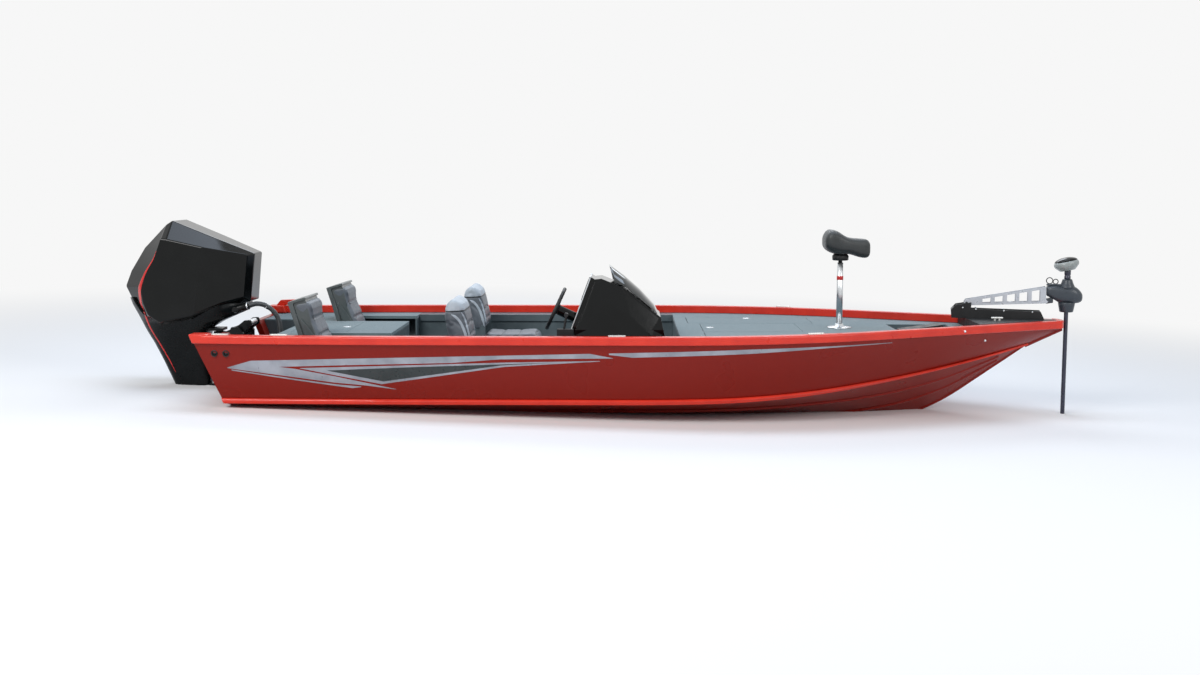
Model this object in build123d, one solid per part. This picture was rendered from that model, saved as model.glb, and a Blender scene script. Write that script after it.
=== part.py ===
"""A 6.3 m riveted aluminium bass boat with an outboard engine and a bow-mounted electric motor.

Millimetres. +X is forward, +Y is to port and +Z is up, square to the decks and the keel.
The origin is on the centreline amidships, on the water surface, which slopes down forward in this frame
because the boat floats slightly bow up.
"""

import os
from math import atan2, cos, degrees, pi, radians, sin, sqrt, tan

from build123d import *

# Hull lines
TRANSOM_X = -3145.0  # after edge of the gunwales
TRANSOM_RAKE = 21.0  # degrees, the top leans aft
TRANSOM_THICKNESS = 45.0
SHEER_X = 3130.0  # forward end of the side panels' top edge
CHINE_X = 2864.0  # where the chines run into the stem
SHEER_Z = 560.0
KEEL_Z = -190.0
CHINE_Z = 128.0
HALF_BEAM = 1195.0
HALF_CHINE = 1040.0
# What each millimetre of the bends below takes off the half breadth, as a share of it
SHEER_BEND_SHARE = 1 / 1195
CHINE_BEND_SHARE = 1 / 1040
AFT_SWEEP_X = -1500.0  # the sides draw in aft of here
AFT_SHEER_RADIUS = 18000.0
AFT_CHINE_RADIUS = 33800.0
SHEER_BEND = (92.0, 3337.0, 1508.0)  # start x, radius, run of the arc before it goes straight
CHINE_BEND = (-200.0, 3700.0, 1500.0)
CHINE_RISE = (350.0, 10500.0, 2514.0)
KEEL_RISE = (1458.0, 1638.0, 930.0)
STATIONS = (
    -3260, -2400, -1500, -700, 0, 250, 500, 750, 1000, 1250, 1500, 1700, 1900, 2100, 2300, 2500, 2700, 2900, SHEER_X,
)

SEAT_GAP = 0.3  # between a piece and what carries it

# Hull plating and extrusions
PLATE = 12.0
KEEL_BAR_SHARE = 0.018  # its half width, as a share of the bottom plate's
KEEL_BAR_DEPTH = 14.0
STEM_DEPTH = 26.0
CHINE_RAIL_OUT = 26.0
CHINE_RAIL_TOP_OUT = 8.0
CHINE_RAIL_SHARE = 0.085  # of the side panel's height
STRAKE_SHARES = (0.34, 0.66)  # where the lifting strakes run, from keel to chine
STRAKE_WIDTH_SHARE = 0.055
STRAKE_DEPTH = 18.0
GUNWALE_HEIGHT = 58.0
GUNWALE_OUT = 25.0
GUNWALE_IN = 50.0
GUNWALE_ROUND = 14.0
NOSE_START_X = 3100.0
NOSE_X = 3146.0
CORNER_CAP_LENGTH = 130.0
CORNER_CAP_PROUD = 6.0

# Decks and cockpit
DECK_Z = 556.0
DECK_THICKNESS = 24.0
DECK_CLEARANCE = 3.0
FLOOR_Z = 148.0
FLOOR_THICKNESS = 20.0
BOW_DECK_AFT_X = 230.0
MID_BULKHEAD_X = 1500.0
BOW_PANEL_AFT_X = 2440.0
BOW_PANEL_HEIGHT = 64.0
REAR_DECK_AFT_X = -2705.0
REAR_DECK_FORE_X = -1880.0
BULKHEAD = 16.0
LINER = 15.0
LINER_HALF = HALF_BEAM - 210.0
COAMING_HEIGHT = 56.0
WELL_FLOOR_Z = 330.0
WELL_HALF = 560.0
NOTCH_Z = 445.0
NOTCH_HALF = 420.0
LID_GAP = 5.0
LID_BARREL_RADIUS = 2.6
LID_BARREL_DROP = 3.0

# Lids: name, aft x, fore x, least y, greatest y
LOCKER_DEPTH = 230.0
LOCKER_LEDGE = 12.0
LIVEWELL_HALF = HALF_BEAM - 865.0
LIDS = (
    ("lid_port_rod_locker", 330.0, 1300.0, 330.0, HALF_BEAM - 435.0),
    ("lid_starboard_rod_locker", 420.0, 1300.0, 435.0 - HALF_BEAM, -330.0),
    ("lid_centre_storage", 420.0, 1150.0, -270.0, 270.0),
    ("lid_livewell", -2640.0, -2230.0, -LIVEWELL_HALF, LIVEWELL_HALF),
)
PEDAL_TRAY = (BOW_PANEL_AFT_X - 580.0, BOW_PANEL_AFT_X - 110.0, 260.0)  # aft x, fore x, half width
PEDAL_TRAY_DEPTH = 90.0

# Seats
SEAT_Y = HALF_BEAM - 609.0
SEAT_HALF_WIDTH = 235.0
SEAT_CUSHION_X = (-1300.0, -820.0)
SEAT_CUSHION_Z = 470.0
SEAT_CUSHION_THICKNESS = 110.0
SEAT_BACK_TOP_Z = 860.0
SEAT_BACK_LEAN = 9.0
SEAT_BACK_THICKNESS = 150.0
SEAT_BOX_INSET = 30.0
JUMP_Y = HALF_BEAM - 555.0
JUMP_HALF_WIDTH = 205.0
JUMP_CUSHION_X = (-2285.0, REAR_DECK_FORE_X)
JUMP_CUSHION_Z = 398.0
JUMP_CUSHION_THICKNESS = 80.0
JUMP_BACK_TOP_Z = 850.0
JUMP_BACK_LEAN = 17.0
JUMP_BACK_THICKNESS = 148.0
JUMP_WELL_AFT_X = -2475.0
JUMP_PAN = 14.0
PIVOT_INSET = 30.0  # of a folding back's pins, behind its front face
CHEEK_THICKNESS = 5.5
CHEEK_PIN_RADIUS = 8.0

# Helm
CONSOLE_Y = (250.0 - HALF_BEAM, 750.0 - HALF_BEAM)
CONSOLE_MID_Y = (CONSOLE_Y[0] + CONSOLE_Y[1]) / 2
DASH_HALF = 165.0
WHEEL_CENTRE = (-657.0, CONSOLE_MID_Y - 5.0, 764.0)
WHEEL_RADIUS = 166.0
WHEEL_RIM = 14.0
WHEEL_LEAN = 24.8  # degrees, the top leans forward
COLUMN_LENGTH = 142.0

# Pedestal seat
POLE_X = 1461.0
POLE_RADIUS = 24.0
POLE_TOP_Z = 1052.0
POLE_BASE_RADIUS = 90.0
SADDLE_HALF = 140.0

# Outboard engine
STEER_X = -3270.0
TILT_X, TILT_Z = -3105.0, 530.0
TILT_TUBE_RADIUS = 20.0
TUBE_CLEARANCE = 0.05
STEER_TUBE_RADIUS = 46.0
STEER_SHAFT_RADIUS = 28.0
ENGINE_HALF_WIDTH = 305.0
COWL_WALL = 10.0
PROP_X, PROP_Z = -3560.0, -345.0
PROP_HUB_RADIUS = 52.0
PROP_HUB_LENGTH = 140.0
HUB_COLLAR = 8.0
PROP_BLADES = 4
PROP_PITCH = 635.0  # advance per turn
# Blade sections: radius, chord, thickness, aft rake
PROP_SECTIONS = (
    (30.0, 96.0, 13.0, 6.0), (75.0, 140.0, 10.0, 4.0), (115.0, 160.0, 7.5, 9.0), (155.0, 138.0, 5.0, 14.0),
    (185.0, 60.0, 3.0, 18.0),
)
RAM_X, RAM_Z = TILT_X + 85.0, TILT_Z + 62.0
RAM_RADIUS = 24.0
RAM_HALF = 112.0
HOSE_RADIUS = 20.0
# Route of the rigging hose from the engine's sleeve, and on to the gland in the splashwell's floor
HOSE_AFT_ROUTE = ((-2984.0, -185.0, 735.3), (-2932.0, -185.0, 748.8), (-2878.0, -182.0, 741.0))
HOSE_FORE_ROUTE = (
    (-2825.0, -176.0, 708.0), (-2785.0, -170.0, 656.0), (-2766.0, -166.0, 590.0), (-2762.0, -165.0, 480.0),
    (-2762.0, -165.0, 352.3),
)
BEND_STEPS = 3
CAVITATION_Z = -150.0

# Bow-mounted electric motor
BOW_MOTOR_ANGLE = 12.0  # degrees, its mount runs aft towards the port side
BOW_MOTOR_SHAFT = (3182.0, 30.0)
BOW_MOTOR_PIVOT = (-735.0, 735.0)  # forward of the shaft, height
BOW_MOTOR_KNEE = (-150.0, 756.0)
BOW_MOTOR_ARM_END = (-156.0, 868.0)
BOW_MOTOR_PIN_RADIUS = 9.0
BOW_MOTOR_SHAFT_RADIUS = 16.0
BOW_MOTOR_POD_Z = -545.0
BOW_MOTOR_POD_AFT_X = -190.0
PUCK_TILT = 12.0
# Blade sections: radius, chord, thickness, aft rake
BOW_PROP_SECTIONS = ((14.0, 34.0, 7.0, 0.0), (60.0, 50.0, 5.0, 0.0), (105.0, 56.0, 4.0, 2.0), (140.0, 30.0, 2.5, 4.0))
BOW_PROP_PITCH = 260.0


def block(x0, x1, y0, y1, z0, z1):
    """A box between opposite corners."""
    centre = ((x0 + x1) / 2, (y0 + y1) / 2, (z0 + z1) / 2)
    return Pos(*centre) * Box(abs(x1 - x0), abs(y1 - y0), abs(z1 - z0))


def side_prism(outline, y0, y1):
    """An outline of (x, z) points, extruded across the boat from y0 to y1."""
    face = make_face(Polyline([(x, y0, z) for x, z in outline], close=True))
    return Solid.extrude(face.faces()[0], Vector(0, y1 - y0, 0))


def plan_prism(outline, z0, z1):
    """An outline of (x, y) points, extruded upwards from z0 to z1."""
    face = make_face(Polyline([(x, y, z0) for x, y in outline], close=True))
    return Solid.extrude(face.faces()[0], Vector(0, 0, z1 - z0))


def front_prism(outline, x0, x1):
    """An outline of (y, z) points, extruded forwards from x0 to x1."""
    face = make_face(Polyline([(x0, y, z) for y, z in outline], close=True))
    return Solid.extrude(face.faces()[0], Vector(x1 - x0, 0, 0))


def flat_faces(a, b, c, d):
    """One flat face through four corners, or two triangles across the shorter diagonal."""
    corners = [p for p, after in ((a, b), (b, c), (c, d), (d, a)) if (p - after).length > 1e-4]
    if len(corners) < 3:
        return []
    if len(corners) == 3:
        return [Face(Wire.make_polygon(corners, close=True))]
    normal = (b - a).cross(d - a)
    if normal.length > 1e-3 and abs(normal.normalized().dot(c - a)) < 1e-4:
        return [Face(Wire.make_polygon(corners, close=True))]
    halves = ([a, b, c], [a, c, d]) if (a - c).length < (b - d).length else ([a, b, d], [b, c, d])
    return [Face(Wire.make_polygon(half, close=True)) for half in halves]


def ruled(sections, endless=False):
    """A solid plated flat from each closed section of points to the next, and on round if endless."""
    sections = [[Vector(*p) for p in s] for s in sections]
    if endless:
        faces = []
        sections.append(sections[0])
    else:
        faces = [Face(Wire.make_polygon(end, close=True)) for end in (sections[0], sections[-1])]
    for low, high in zip(sections, sections[1:]):
        for i in range(len(low)):
            faces += flat_faces(low[i - 1], low[i], high[i], high[i - 1])
    return Solid(Shell(faces))


def turned_solid(profile, plane, sides=20):
    """A many-sided round form about a plane's axis, through (distance along it, radius) pairs."""
    rings = []
    for along, radius in profile:
        angles = [2 * pi * i / sides for i in range(sides)]
        rings.append([plane.from_local_coords((radius * cos(a), radius * sin(a), along)) for a in angles])
    return ruled(rings)


def rod(start, end, radius, sides=16):
    """A many-sided round bar between two points."""
    start, end = Vector(*start), Vector(*end)
    return turned_solid([(0, radius), ((end - start).length, radius)], Plane(origin=start, z_dir=end - start), sides)


def pin(start, end, radius):
    """A truly round bar between two points, for something to turn on."""
    start, end = Vector(*start), Vector(*end)
    return Solid.make_cylinder(radius, (end - start).length, Plane(origin=start, z_dir=end - start))


def bore(start, end, radius):
    """The body of a hole in which a pin of that radius turns freely."""
    return pin(start, end, radius + TUBE_CLEARANCE)


def hose_rings(route, radius, sides=10):
    """Sections of a hose whose straight runs are joined by bends, BEND_STEPS of them in each bend."""
    route = [Vector(*p) for p in route]
    places = [(route[0], route[1] - route[0])]
    for before, corner, after in zip(route, route[1:], route[2:]):
        reach = 0.45 * min((corner - before).length, (after - corner).length)
        start = corner - (corner - before).normalized() * reach
        end = corner + (after - corner).normalized() * reach
        for k in range(BEND_STEPS):
            t = k / (BEND_STEPS - 1)
            point = start * (1 - t) ** 2 + corner * (2 * t * (1 - t)) + end * t**2
            places.append((point, (corner - start) * (1 - t) + (end - corner) * t))
    places.append((route[-1], route[-1] - route[-2]))
    rings = []
    for point, heading in places:
        plane = Plane(origin=point, z_dir=heading, x_dir=Vector(0, 1, 0).cross(heading))
        angles = [2 * pi * k / sides for k in range(sides)]
        rings.append([plane.from_local_coords((radius * cos(a), radius * sin(a), 0)) for a in angles])
    return rings


def port_and_starboard(solid):
    """A solid and its mirror image across the centreline."""
    return Compound([solid, solid.mirror(Plane.XZ)])


def overlap(first, *others):
    """The one solid that several solids have in common."""
    for other in others:
        first = (first & other).solids()[0]
    return first


def nearest(shape, point):
    """The solid of a shape that lies at a point."""
    return min(shape.solids(), key=lambda solid: solid.distance_to(Vertex(*point)))


def turned(shape, angle, pivot, axis=(0, 1, 0)):
    """A shape turned about an axis through a point."""
    return shape.rotate(Axis(pivot, axis), angle)


# Hull lines


def bend(x, line):
    """Offset of a line that leaves straight at a start, follows an arc and then goes straight again."""
    start, radius, arc_run = line
    run = max(0.0, x - start)
    bent = min(run, arc_run)
    offset = radius - sqrt(radius**2 - bent**2)
    return offset + (run - bent) * bent / sqrt(radius**2 - bent**2)


def aft_sweep(x, radius):
    return bend(AFT_SWEEP_X - x + AFT_SWEEP_X, (AFT_SWEEP_X, radius, radius / 2)) if x < AFT_SWEEP_X else 0.0


def chine_x(station):
    """The stations rake forward towards the bow, as the stem does."""
    return station if station <= 0 else station * CHINE_X / SHEER_X


def half_sheer(x):
    return HALF_BEAM * (1 - (bend(x, SHEER_BEND) + aft_sweep(x, AFT_SHEER_RADIUS)) * SHEER_BEND_SHARE)


def half_chine(x):
    return HALF_CHINE * (1 - (bend(x, CHINE_BEND) + aft_sweep(x, AFT_CHINE_RADIUS)) * CHINE_BEND_SHARE)


def chine_z(x):
    return CHINE_Z + bend(x, CHINE_RISE)


def keel_z(x):
    return min(KEEL_Z + bend(x, KEEL_RISE), chine_z(x) - 1.0)


def chine_point(station):
    x = chine_x(station)
    return Vector(x, half_chine(x), chine_z(x))


def sheer_point(station):
    return Vector(station, half_sheer(station), SHEER_Z)


def bottom_edge(station):
    """Outer edge of the bottom plate, just inside the side panel."""
    return chine_point(station) - Vector(0, PLATE, 0)


def keel_point(station):
    x = chine_x(station)
    return Vector(x, 0, keel_z(x))


def side_at(station, z, inset=0.0):
    """(x, y) of a side panel's inner face at a height, at one station."""
    low, high = chine_point(station), sheer_point(station)
    share = (z - low.Z) / (high.Z - low.Z)
    point = low + (high - low) * share
    return point.X, point.Y - PLATE - inset


def side_outline(x0, x1, z, inset):
    """(x, y) points along the inside of the port side at a height, between two x positions."""
    points = [side_at(s, z, inset) for s in STATIONS]
    out = []
    for (xa, ya), (xb, yb) in zip(points, points[1:]):
        for x in (x0, x1):
            if xa < x < xb:
                out.append((x, ya + (yb - ya) * (x - xa) / (xb - xa)))
        if x0 <= xb <= x1:
            out.append((xb, yb))
    return sorted(set(out))


def transom_plane(inset=0.0):
    """The transom's after face, or a plane that lies inset forward of it."""
    rake = radians(TRANSOM_RAKE)
    normal = Vector(-cos(rake), 0, -sin(rake))
    return Plane(origin=Vector(TRANSOM_X, 0, SHEER_Z + GUNWALE_HEIGHT) - normal * inset, z_dir=normal)


def forward_of(shape, plane):
    """The part of a shape on the forward side of a transom plane."""
    return shape.split(plane, keep=Keep.BOTTOM)


def bottom_point(station, share):
    """A point across the bottom, from the keel to the chine."""
    keel, edge = keel_point(station), bottom_edge(station)
    return keel + (edge - keel) * share


STRAKE_EDGES = sorted([*STRAKE_SHARES, *[share + STRAKE_WIDTH_SHARE for share in STRAKE_SHARES]], reverse=True)
BOTTOM_SHARES = (1.0, *STRAKE_EDGES, KEEL_BAR_SHARE)


def across(points):
    """Points on the port side, followed by their mirror images in reverse."""
    return [*points, *[Vector(p.X, -p.Y, p.Z) for p in reversed(points)]]


def make_hull_bottom():
    sections = []
    for s in STATIONS:
        port = [bottom_point(s, share) for share in BOTTOM_SHARES]
        edge, keel = bottom_edge(s), keel_point(s)
        starboard_edge = Vector(edge.X, -edge.Y, edge.Z)
        up = Vector(0, 0, PLATE)
        starboard = [Vector(p.X, -p.Y, p.Z) for p in reversed(port)]
        sections.append([*port, keel, *starboard, starboard_edge + up, keel + up, edge + up])
    return forward_of(ruled(sections), transom_plane())


def make_hull_side():
    sections = []
    for s in STATIONS:
        low, high, inward = chine_point(s), sheer_point(s), Vector(0, -PLATE, 0)
        rail_top = low + (high - low) * CHINE_RAIL_SHARE
        sections.append([low, rail_top, high, high + inward, low + inward])
    return forward_of(ruled(sections), transom_plane())


def make_chine_rail():
    sections = []
    for s in STATIONS:
        low = chine_point(s)
        top = low + (sheer_point(s) - low) * CHINE_RAIL_SHARE
        out = low + (top - low) * 0.1 + Vector(0, CHINE_RAIL_OUT, 0)
        sections.append([low, top, top + Vector(0, CHINE_RAIL_TOP_OUT, 0), out])
    return forward_of(ruled(sections), transom_plane())


def make_strake(share):
    sections = []
    for s in STATIONS[:-2]:
        inner, outer = (bottom_point(s, edge) for edge in (share, share + STRAKE_WIDTH_SHARE))
        sections.append([inner, outer, outer - Vector(0, 0, STRAKE_DEPTH), inner - Vector(0, 0, 3)])
    return forward_of(ruled(sections), transom_plane())


def make_keel():
    sections = []
    for s in STATIONS:
        keel, wing = keel_point(s), bottom_point(s, KEEL_BAR_SHARE)
        other = Vector(wing.X, -wing.Y, wing.Z)
        foot = Vector(0, 0, keel.Z - wing.Z - KEEL_BAR_DEPTH)
        sections.append([wing, keel, other, other + foot, wing + foot])
    return forward_of(ruled(sections), transom_plane())


def make_stem():
    low, high = chine_point(SHEER_X), sheer_point(SHEER_X)
    along = (high - low).normalized()
    ahead = Vector(along.Z, 0, -along.X).normalized() * STEM_DEPTH
    sections = []
    for point in (low, high):
        other = Vector(point.X, -point.Y, point.Z)
        sections.append([point, point + ahead, other + ahead, other])
    return ruled(sections).cut(block(0, 2 * SHEER_X, -200, 200, SHEER_Z, SHEER_Z + 200))


def make_gunwale():
    sections = []
    top = SHEER_Z + GUNWALE_HEIGHT
    for s in [*STATIONS[:-1], NOSE_START_X + 5]:
        y = half_sheer(s)
        outer, inner = y + GUNWALE_OUT, y - GUNWALE_IN
        sections.append(
            [
                (s, inner, SHEER_Z),
                (s, outer - GUNWALE_ROUND / 2, SHEER_Z),
                (s, outer, SHEER_Z + GUNWALE_ROUND),
                (s, outer, top - GUNWALE_ROUND),
                (s, outer - GUNWALE_ROUND, top),
                (s, inner, top),
            ]
        )
    return forward_of(ruled(sections), transom_plane(CORNER_CAP_LENGTH - 5))


def make_nose_cap():
    half = half_sheer(NOSE_START_X) + GUNWALE_OUT
    ends = [(NOSE_START_X, -half), (NOSE_START_X, half)]
    outline = Line(*ends) + ThreePointArc(ends[0], (NOSE_X, 0), ends[1])
    return Pos(0, 0, SHEER_Z) * extrude(make_face(outline), GUNWALE_HEIGHT + 4)


def make_corner_cap():
    """The cast cap that closes a gunwale's after end."""
    plane, ahead = transom_plane(-CORNER_CAP_PROUD), transom_plane(CORNER_CAP_LENGTH)
    outer = half_sheer(TRANSOM_X) + GUNWALE_OUT + CORNER_CAP_PROUD
    inner = half_sheer(TRANSOM_X) - 2 * GUNWALE_IN
    cap = block(TRANSOM_X - 50, TRANSOM_X + 300, inner, outer, SHEER_Z, SHEER_Z + GUNWALE_HEIGHT + CORNER_CAP_PROUD)
    cap = forward_of(cap, plane).split(ahead, keep=Keep.TOP)
    return cap


def make_gunwales():
    """Both gunwales, with the nose cap and the stern's corner caps, as one rail."""
    sides = [solid for part in (make_gunwale(), make_corner_cap()) for solid in port_and_starboard(part).solids()]
    return make_nose_cap().solids()[0].fuse(*sides)


def make_port_quarter_cap():
    """A raised wedge on the port gunwale's after end."""
    top = SHEER_Z + GUNWALE_HEIGHT + 0.3
    aft, fore = TRANSOM_X + 45, TRANSOM_X + 250
    step = TRANSOM_X + 150
    outline = [
        (aft, top + CORNER_CAP_PROUD), (aft + 35, top + 46), (fore - 15, top + 52), (fore, top), (step, top),
        (step, top + CORNER_CAP_PROUD),
    ]
    outer = half_sheer(TRANSOM_X) + GUNWALE_OUT
    return side_prism(outline, outer - 66, outer)


CLEATS_X = (-2530.0, -220.0, 1150.0)
STARBOARD_STERN_CLEAT_X = -2940.0


def make_cleat(x):
    """A low pull-up cleat let into the port gunwale."""
    y = (half_sheer(x - 60) + half_sheer(x + 60)) / 2 - GUNWALE_IN / 4
    top = SHEER_Z + GUNWALE_HEIGHT
    corners = ((60, 6), (50, 13), (-50, 13), (-60, 6), (-60, -6), (-50, -13), (50, -13), (60, -6))
    bar = plan_prism([(x + a, y + b) for a, b in corners], top, top + 10)
    turn = degrees(atan2(half_sheer(x + 60) - half_sheer(x - 60), 120))
    return turned(bar, turn, (x, y, 0), (0, 0, 1))


def make_cleats():
    pairs = [c for x in CLEATS_X for c in port_and_starboard(make_cleat(x)).solids()]
    return Compound([*pairs, make_cleat(STARBOARD_STERN_CLEAT_X).mirror(Plane.XZ)])


# Transom, decks and cockpit


def make_transom(hull):
    """The slab between the plating, notched for the engine."""
    reach = (SHEER_Z + GUNWALE_HEIGHT - KEEL_Z) * tan(radians(TRANSOM_RAKE))
    slab = block(TRANSOM_X, TRANSOM_X + 2 * reach, -HALF_BEAM, HALF_BEAM, KEEL_Z - PLATE, SHEER_Z)
    slab = forward_of(slab, transom_plane()).split(transom_plane(TRANSOM_THICKNESS), keep=Keep.TOP)
    notch = block(TRANSOM_X, TRANSOM_X + reach, -NOTCH_HALF, NOTCH_HALF, NOTCH_Z, SHEER_Z + PLATE)
    return nearest(slab.cut(*hull), (TRANSOM_X + 150, 0, 200)).cut(notch)


def make_floor():
    half = (FLOOR_Z - FLOOR_THICKNESS - KEEL_Z - PLATE) / (CHINE_Z - KEEL_Z) * (HALF_CHINE - PLATE) - 45
    x0, x1 = REAR_DECK_FORE_X + SEAT_GAP, BOW_DECK_AFT_X - SEAT_GAP
    return block(x0, x1, -half, half, FLOOR_Z - FLOOR_THICKNESS, FLOOR_Z)


def make_cockpit_side():
    """The liner panel and the padded side deck above it, along the port side of the cockpit."""
    low, high = SHEER_Z - COAMING_HEIGHT, SHEER_Z - 2
    x0, x1 = REAR_DECK_FORE_X + SEAT_GAP, BOW_DECK_AFT_X - SEAT_GAP
    outline = side_outline(x0, x1, low, DECK_CLEARANCE)
    inner = [(x, LINER_HALF - LINER - 20) for x in (outline[-1][0], outline[0][0])]
    coaming = plan_prism([*outline, *inner], low, high)
    return coaming.fuse(block(x0, x1, LINER_HALF - LINER, LINER_HALF, FLOOR_Z, low + 1))


def mirrored_outline(half):
    return [*half, *[(x, -y) for x, y in reversed(half)]]


def lid_hole(lid):
    _, x0, x1, y0, y1 = lid
    return block(x0 - LID_GAP, x1 + LID_GAP, y0 - LID_GAP, y1 + LID_GAP, DECK_Z - 400, DECK_Z + 1)


def make_bow_deck():
    outline = mirrored_outline(
        side_outline(BOW_DECK_AFT_X, BOW_PANEL_AFT_X, DECK_Z - DECK_THICKNESS, DECK_CLEARANCE)
    )
    deck = plan_prism(outline, DECK_Z - DECK_THICKNESS, DECK_Z)
    for lid in LIDS[:3]:
        deck = deck.cut(lid_hole(lid))
    x0, x1, half = PEDAL_TRAY
    return deck.cut(block(x0, x1, -half, half, DECK_Z - 300, DECK_Z + 1))


def bulkhead(x, top_z, hull):
    """A cross panel, cut to the plating."""
    panel = block(x, x + BULKHEAD, -HALF_BEAM, HALF_BEAM, KEEL_Z - 50, top_z)
    return nearest(panel.cut(*hull), (x, 0, top_z))


def make_bow_bulkheads(hull):
    top = DECK_Z - DECK_THICKNESS
    return Compound([bulkhead(x, top, hull) for x in (BOW_DECK_AFT_X, MID_BULKHEAD_X, PEDAL_TRAY[1] + 40)])


def make_pedal_tray():
    x0, x1, half = PEDAL_TRAY
    g = SEAT_GAP
    outer = block(x0 + g, x1 - g, -half + g, half - g, DECK_Z - PEDAL_TRAY_DEPTH - 8, DECK_Z - 2)
    inner = block(x0 + 9, x1 - 9, -half + 9, half - 9, DECK_Z - PEDAL_TRAY_DEPTH, DECK_Z)
    return outer.cut(inner)


def make_foot_pedal():
    x, base = PEDAL_TRAY[0] + 56, DECK_Z - PEDAL_TRAY_DEPTH

    def slab(points, half):
        return side_prism([(x + a, base + h) for a, h in points], -half, half)

    plate = slab([(14, 0), (324, 0), (324, 22), (14, 22)], 95)
    tread = slab([(4, 60), (314, 104), (310, 122), (0, 78)], 80)
    hinge = slab([(134, 10), (194, 10), (174, 90), (150, 90)], 60)
    return plate.fuse(tread, hinge)


def make_bow_panel():
    """The moulded panel that fills the bow at gunwale height."""
    low, high = DECK_Z - DECK_THICKNESS, DECK_Z + BOW_PANEL_HEIGHT
    mid, core_end, foot_end = (BOW_PANEL_AFT_X + share * (NOSE_START_X - BOW_PANEL_AFT_X) for share in (0.48, 0.62, 0.7))
    foot = mirrored_outline(side_outline(BOW_PANEL_AFT_X + 1, foot_end, low, 2 * DECK_CLEARANCE))
    xs = (BOW_PANEL_AFT_X + 1, mid, NOSE_START_X - 5)
    top = mirrored_outline([(x, half_sheer(x) - GUNWALE_IN - DECK_CLEARANCE) for x in xs])
    core = [(min(x, core_end), y) for x, y in top]
    return plan_prism(foot, low, SHEER_Z - 1).fuse(plan_prism(core, low, high), plan_prism(top, SHEER_Z + 1, high))


def make_rear_deck():
    """The rear deck, with the side decks beside the engine's well."""
    low = DECK_Z - DECK_THICKNESS
    outline = mirrored_outline(side_outline(TRANSOM_X, REAR_DECK_FORE_X, low, DECK_CLEARANCE))
    deck = plan_prism(outline, low, DECK_Z)
    well = block(TRANSOM_X, REAR_DECK_AFT_X, -WELL_HALF - SEAT_GAP, WELL_HALF + SEAT_GAP, low - 1, DECK_Z + 1)
    deck = forward_of(deck.cut(well), transom_plane(TRANSOM_THICKNESS + SEAT_GAP))
    for side in (-1, 1):
        y = side * JUMP_Y
        reach = JUMP_HALF_WIDTH + CHEEK_THICKNESS + 1
        deck = deck.cut(block(JUMP_WELL_AFT_X, REAR_DECK_FORE_X + 1, y - reach, y + reach, low - 1, DECK_Z + 1))
    return deck.cut(lid_hole(LIDS[3]))


def make_rear_bulkheads(hull):
    top = DECK_Z - DECK_THICKNESS
    fore = bulkhead(REAR_DECK_FORE_X - BULKHEAD, top, hull)
    for side in (-1, 1):
        y = side * JUMP_Y
        reach = JUMP_HALF_WIDTH + CHEEK_THICKNESS + 1
        pan_z = JUMP_CUSHION_Z - JUMP_CUSHION_THICKNESS - JUMP_PAN
        fore = fore.cut(block(REAR_DECK_FORE_X - 2 * BULKHEAD, REAR_DECK_FORE_X + 1, y - reach, y + reach, pan_z, DECK_Z))
    return Compound([bulkhead(REAR_DECK_AFT_X, top, hull), fore])


def make_splashwell():
    """The open tray between the transom and the rear deck."""
    x1 = REAR_DECK_AFT_X - 2
    outer = block(TRANSOM_X, x1, -WELL_HALF, WELL_HALF, WELL_FLOOR_Z - 8, SHEER_Z - 10)
    inner = block(TRANSOM_X - 1, x1 - 8, -WELL_HALF + 8, WELL_HALF - 8, WELL_FLOOR_Z, SHEER_Z)
    x, y, z = HOSE_FORE_ROUTE[-1]
    gland = rod((x, y, WELL_FLOOR_Z - 1), (x, y, z - SEAT_GAP), HOSE_RADIUS + 12)
    return forward_of(outer.cut(inner), transom_plane(TRANSOM_THICKNESS + 1)).fuse(gland)


def make_jump_pan(side):
    """The pan under a jump seat's cushion, with the cheeks that its back turns between."""
    x0, x1 = JUMP_WELL_AFT_X + SEAT_GAP, JUMP_CUSHION_X[1] - BULKHEAD - SEAT_GAP
    low = JUMP_CUSHION_Z - JUMP_CUSHION_THICKNESS
    y = side * JUMP_Y
    reach = JUMP_HALF_WIDTH + 0.5 + CHEEK_THICKNESS
    foot = low - JUMP_PAN
    pan = block(x0, x1, y - reach, y + reach, foot, low)
    rear = block(x0, x0 + JUMP_PAN, y - reach, y + reach, foot, DECK_Z)
    return pan.fuse(rear, *hinge_cheeks(jump_hinge(side), JUMP_HALF_WIDTH, foot, 25))


def lid_axis(lid):
    """Two ends of a lid's hinge line: rod lockers hinge outboard, the others along their forward edge."""
    name, x0, x1, y0, y1 = lid
    z = DECK_Z - LID_BARREL_DROP
    if "rod" not in name:
        return (x1 + 2, y0 + 40, z), (x1 + 2, y1 - 40, z)
    y = y1 + 2 if y0 > 0 else y0 - 2
    return (x0 + 40, y, z), (x1 - 40, y, z)


def make_lid(lid):
    _, x0, x1, y0, y1 = lid
    top = block(x0, x1, y0, y1, DECK_Z - DECK_THICKNESS + 2, DECK_Z)
    rim = block(x0 + 30, x1 - 30, y0 + 30, y1 - 30, DECK_Z - DECK_THICKNESS - 12, DECK_Z - DECK_THICKNESS + 2)
    return top.fuse(rim, pin(*lid_axis(lid), LID_BARREL_RADIUS))


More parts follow.
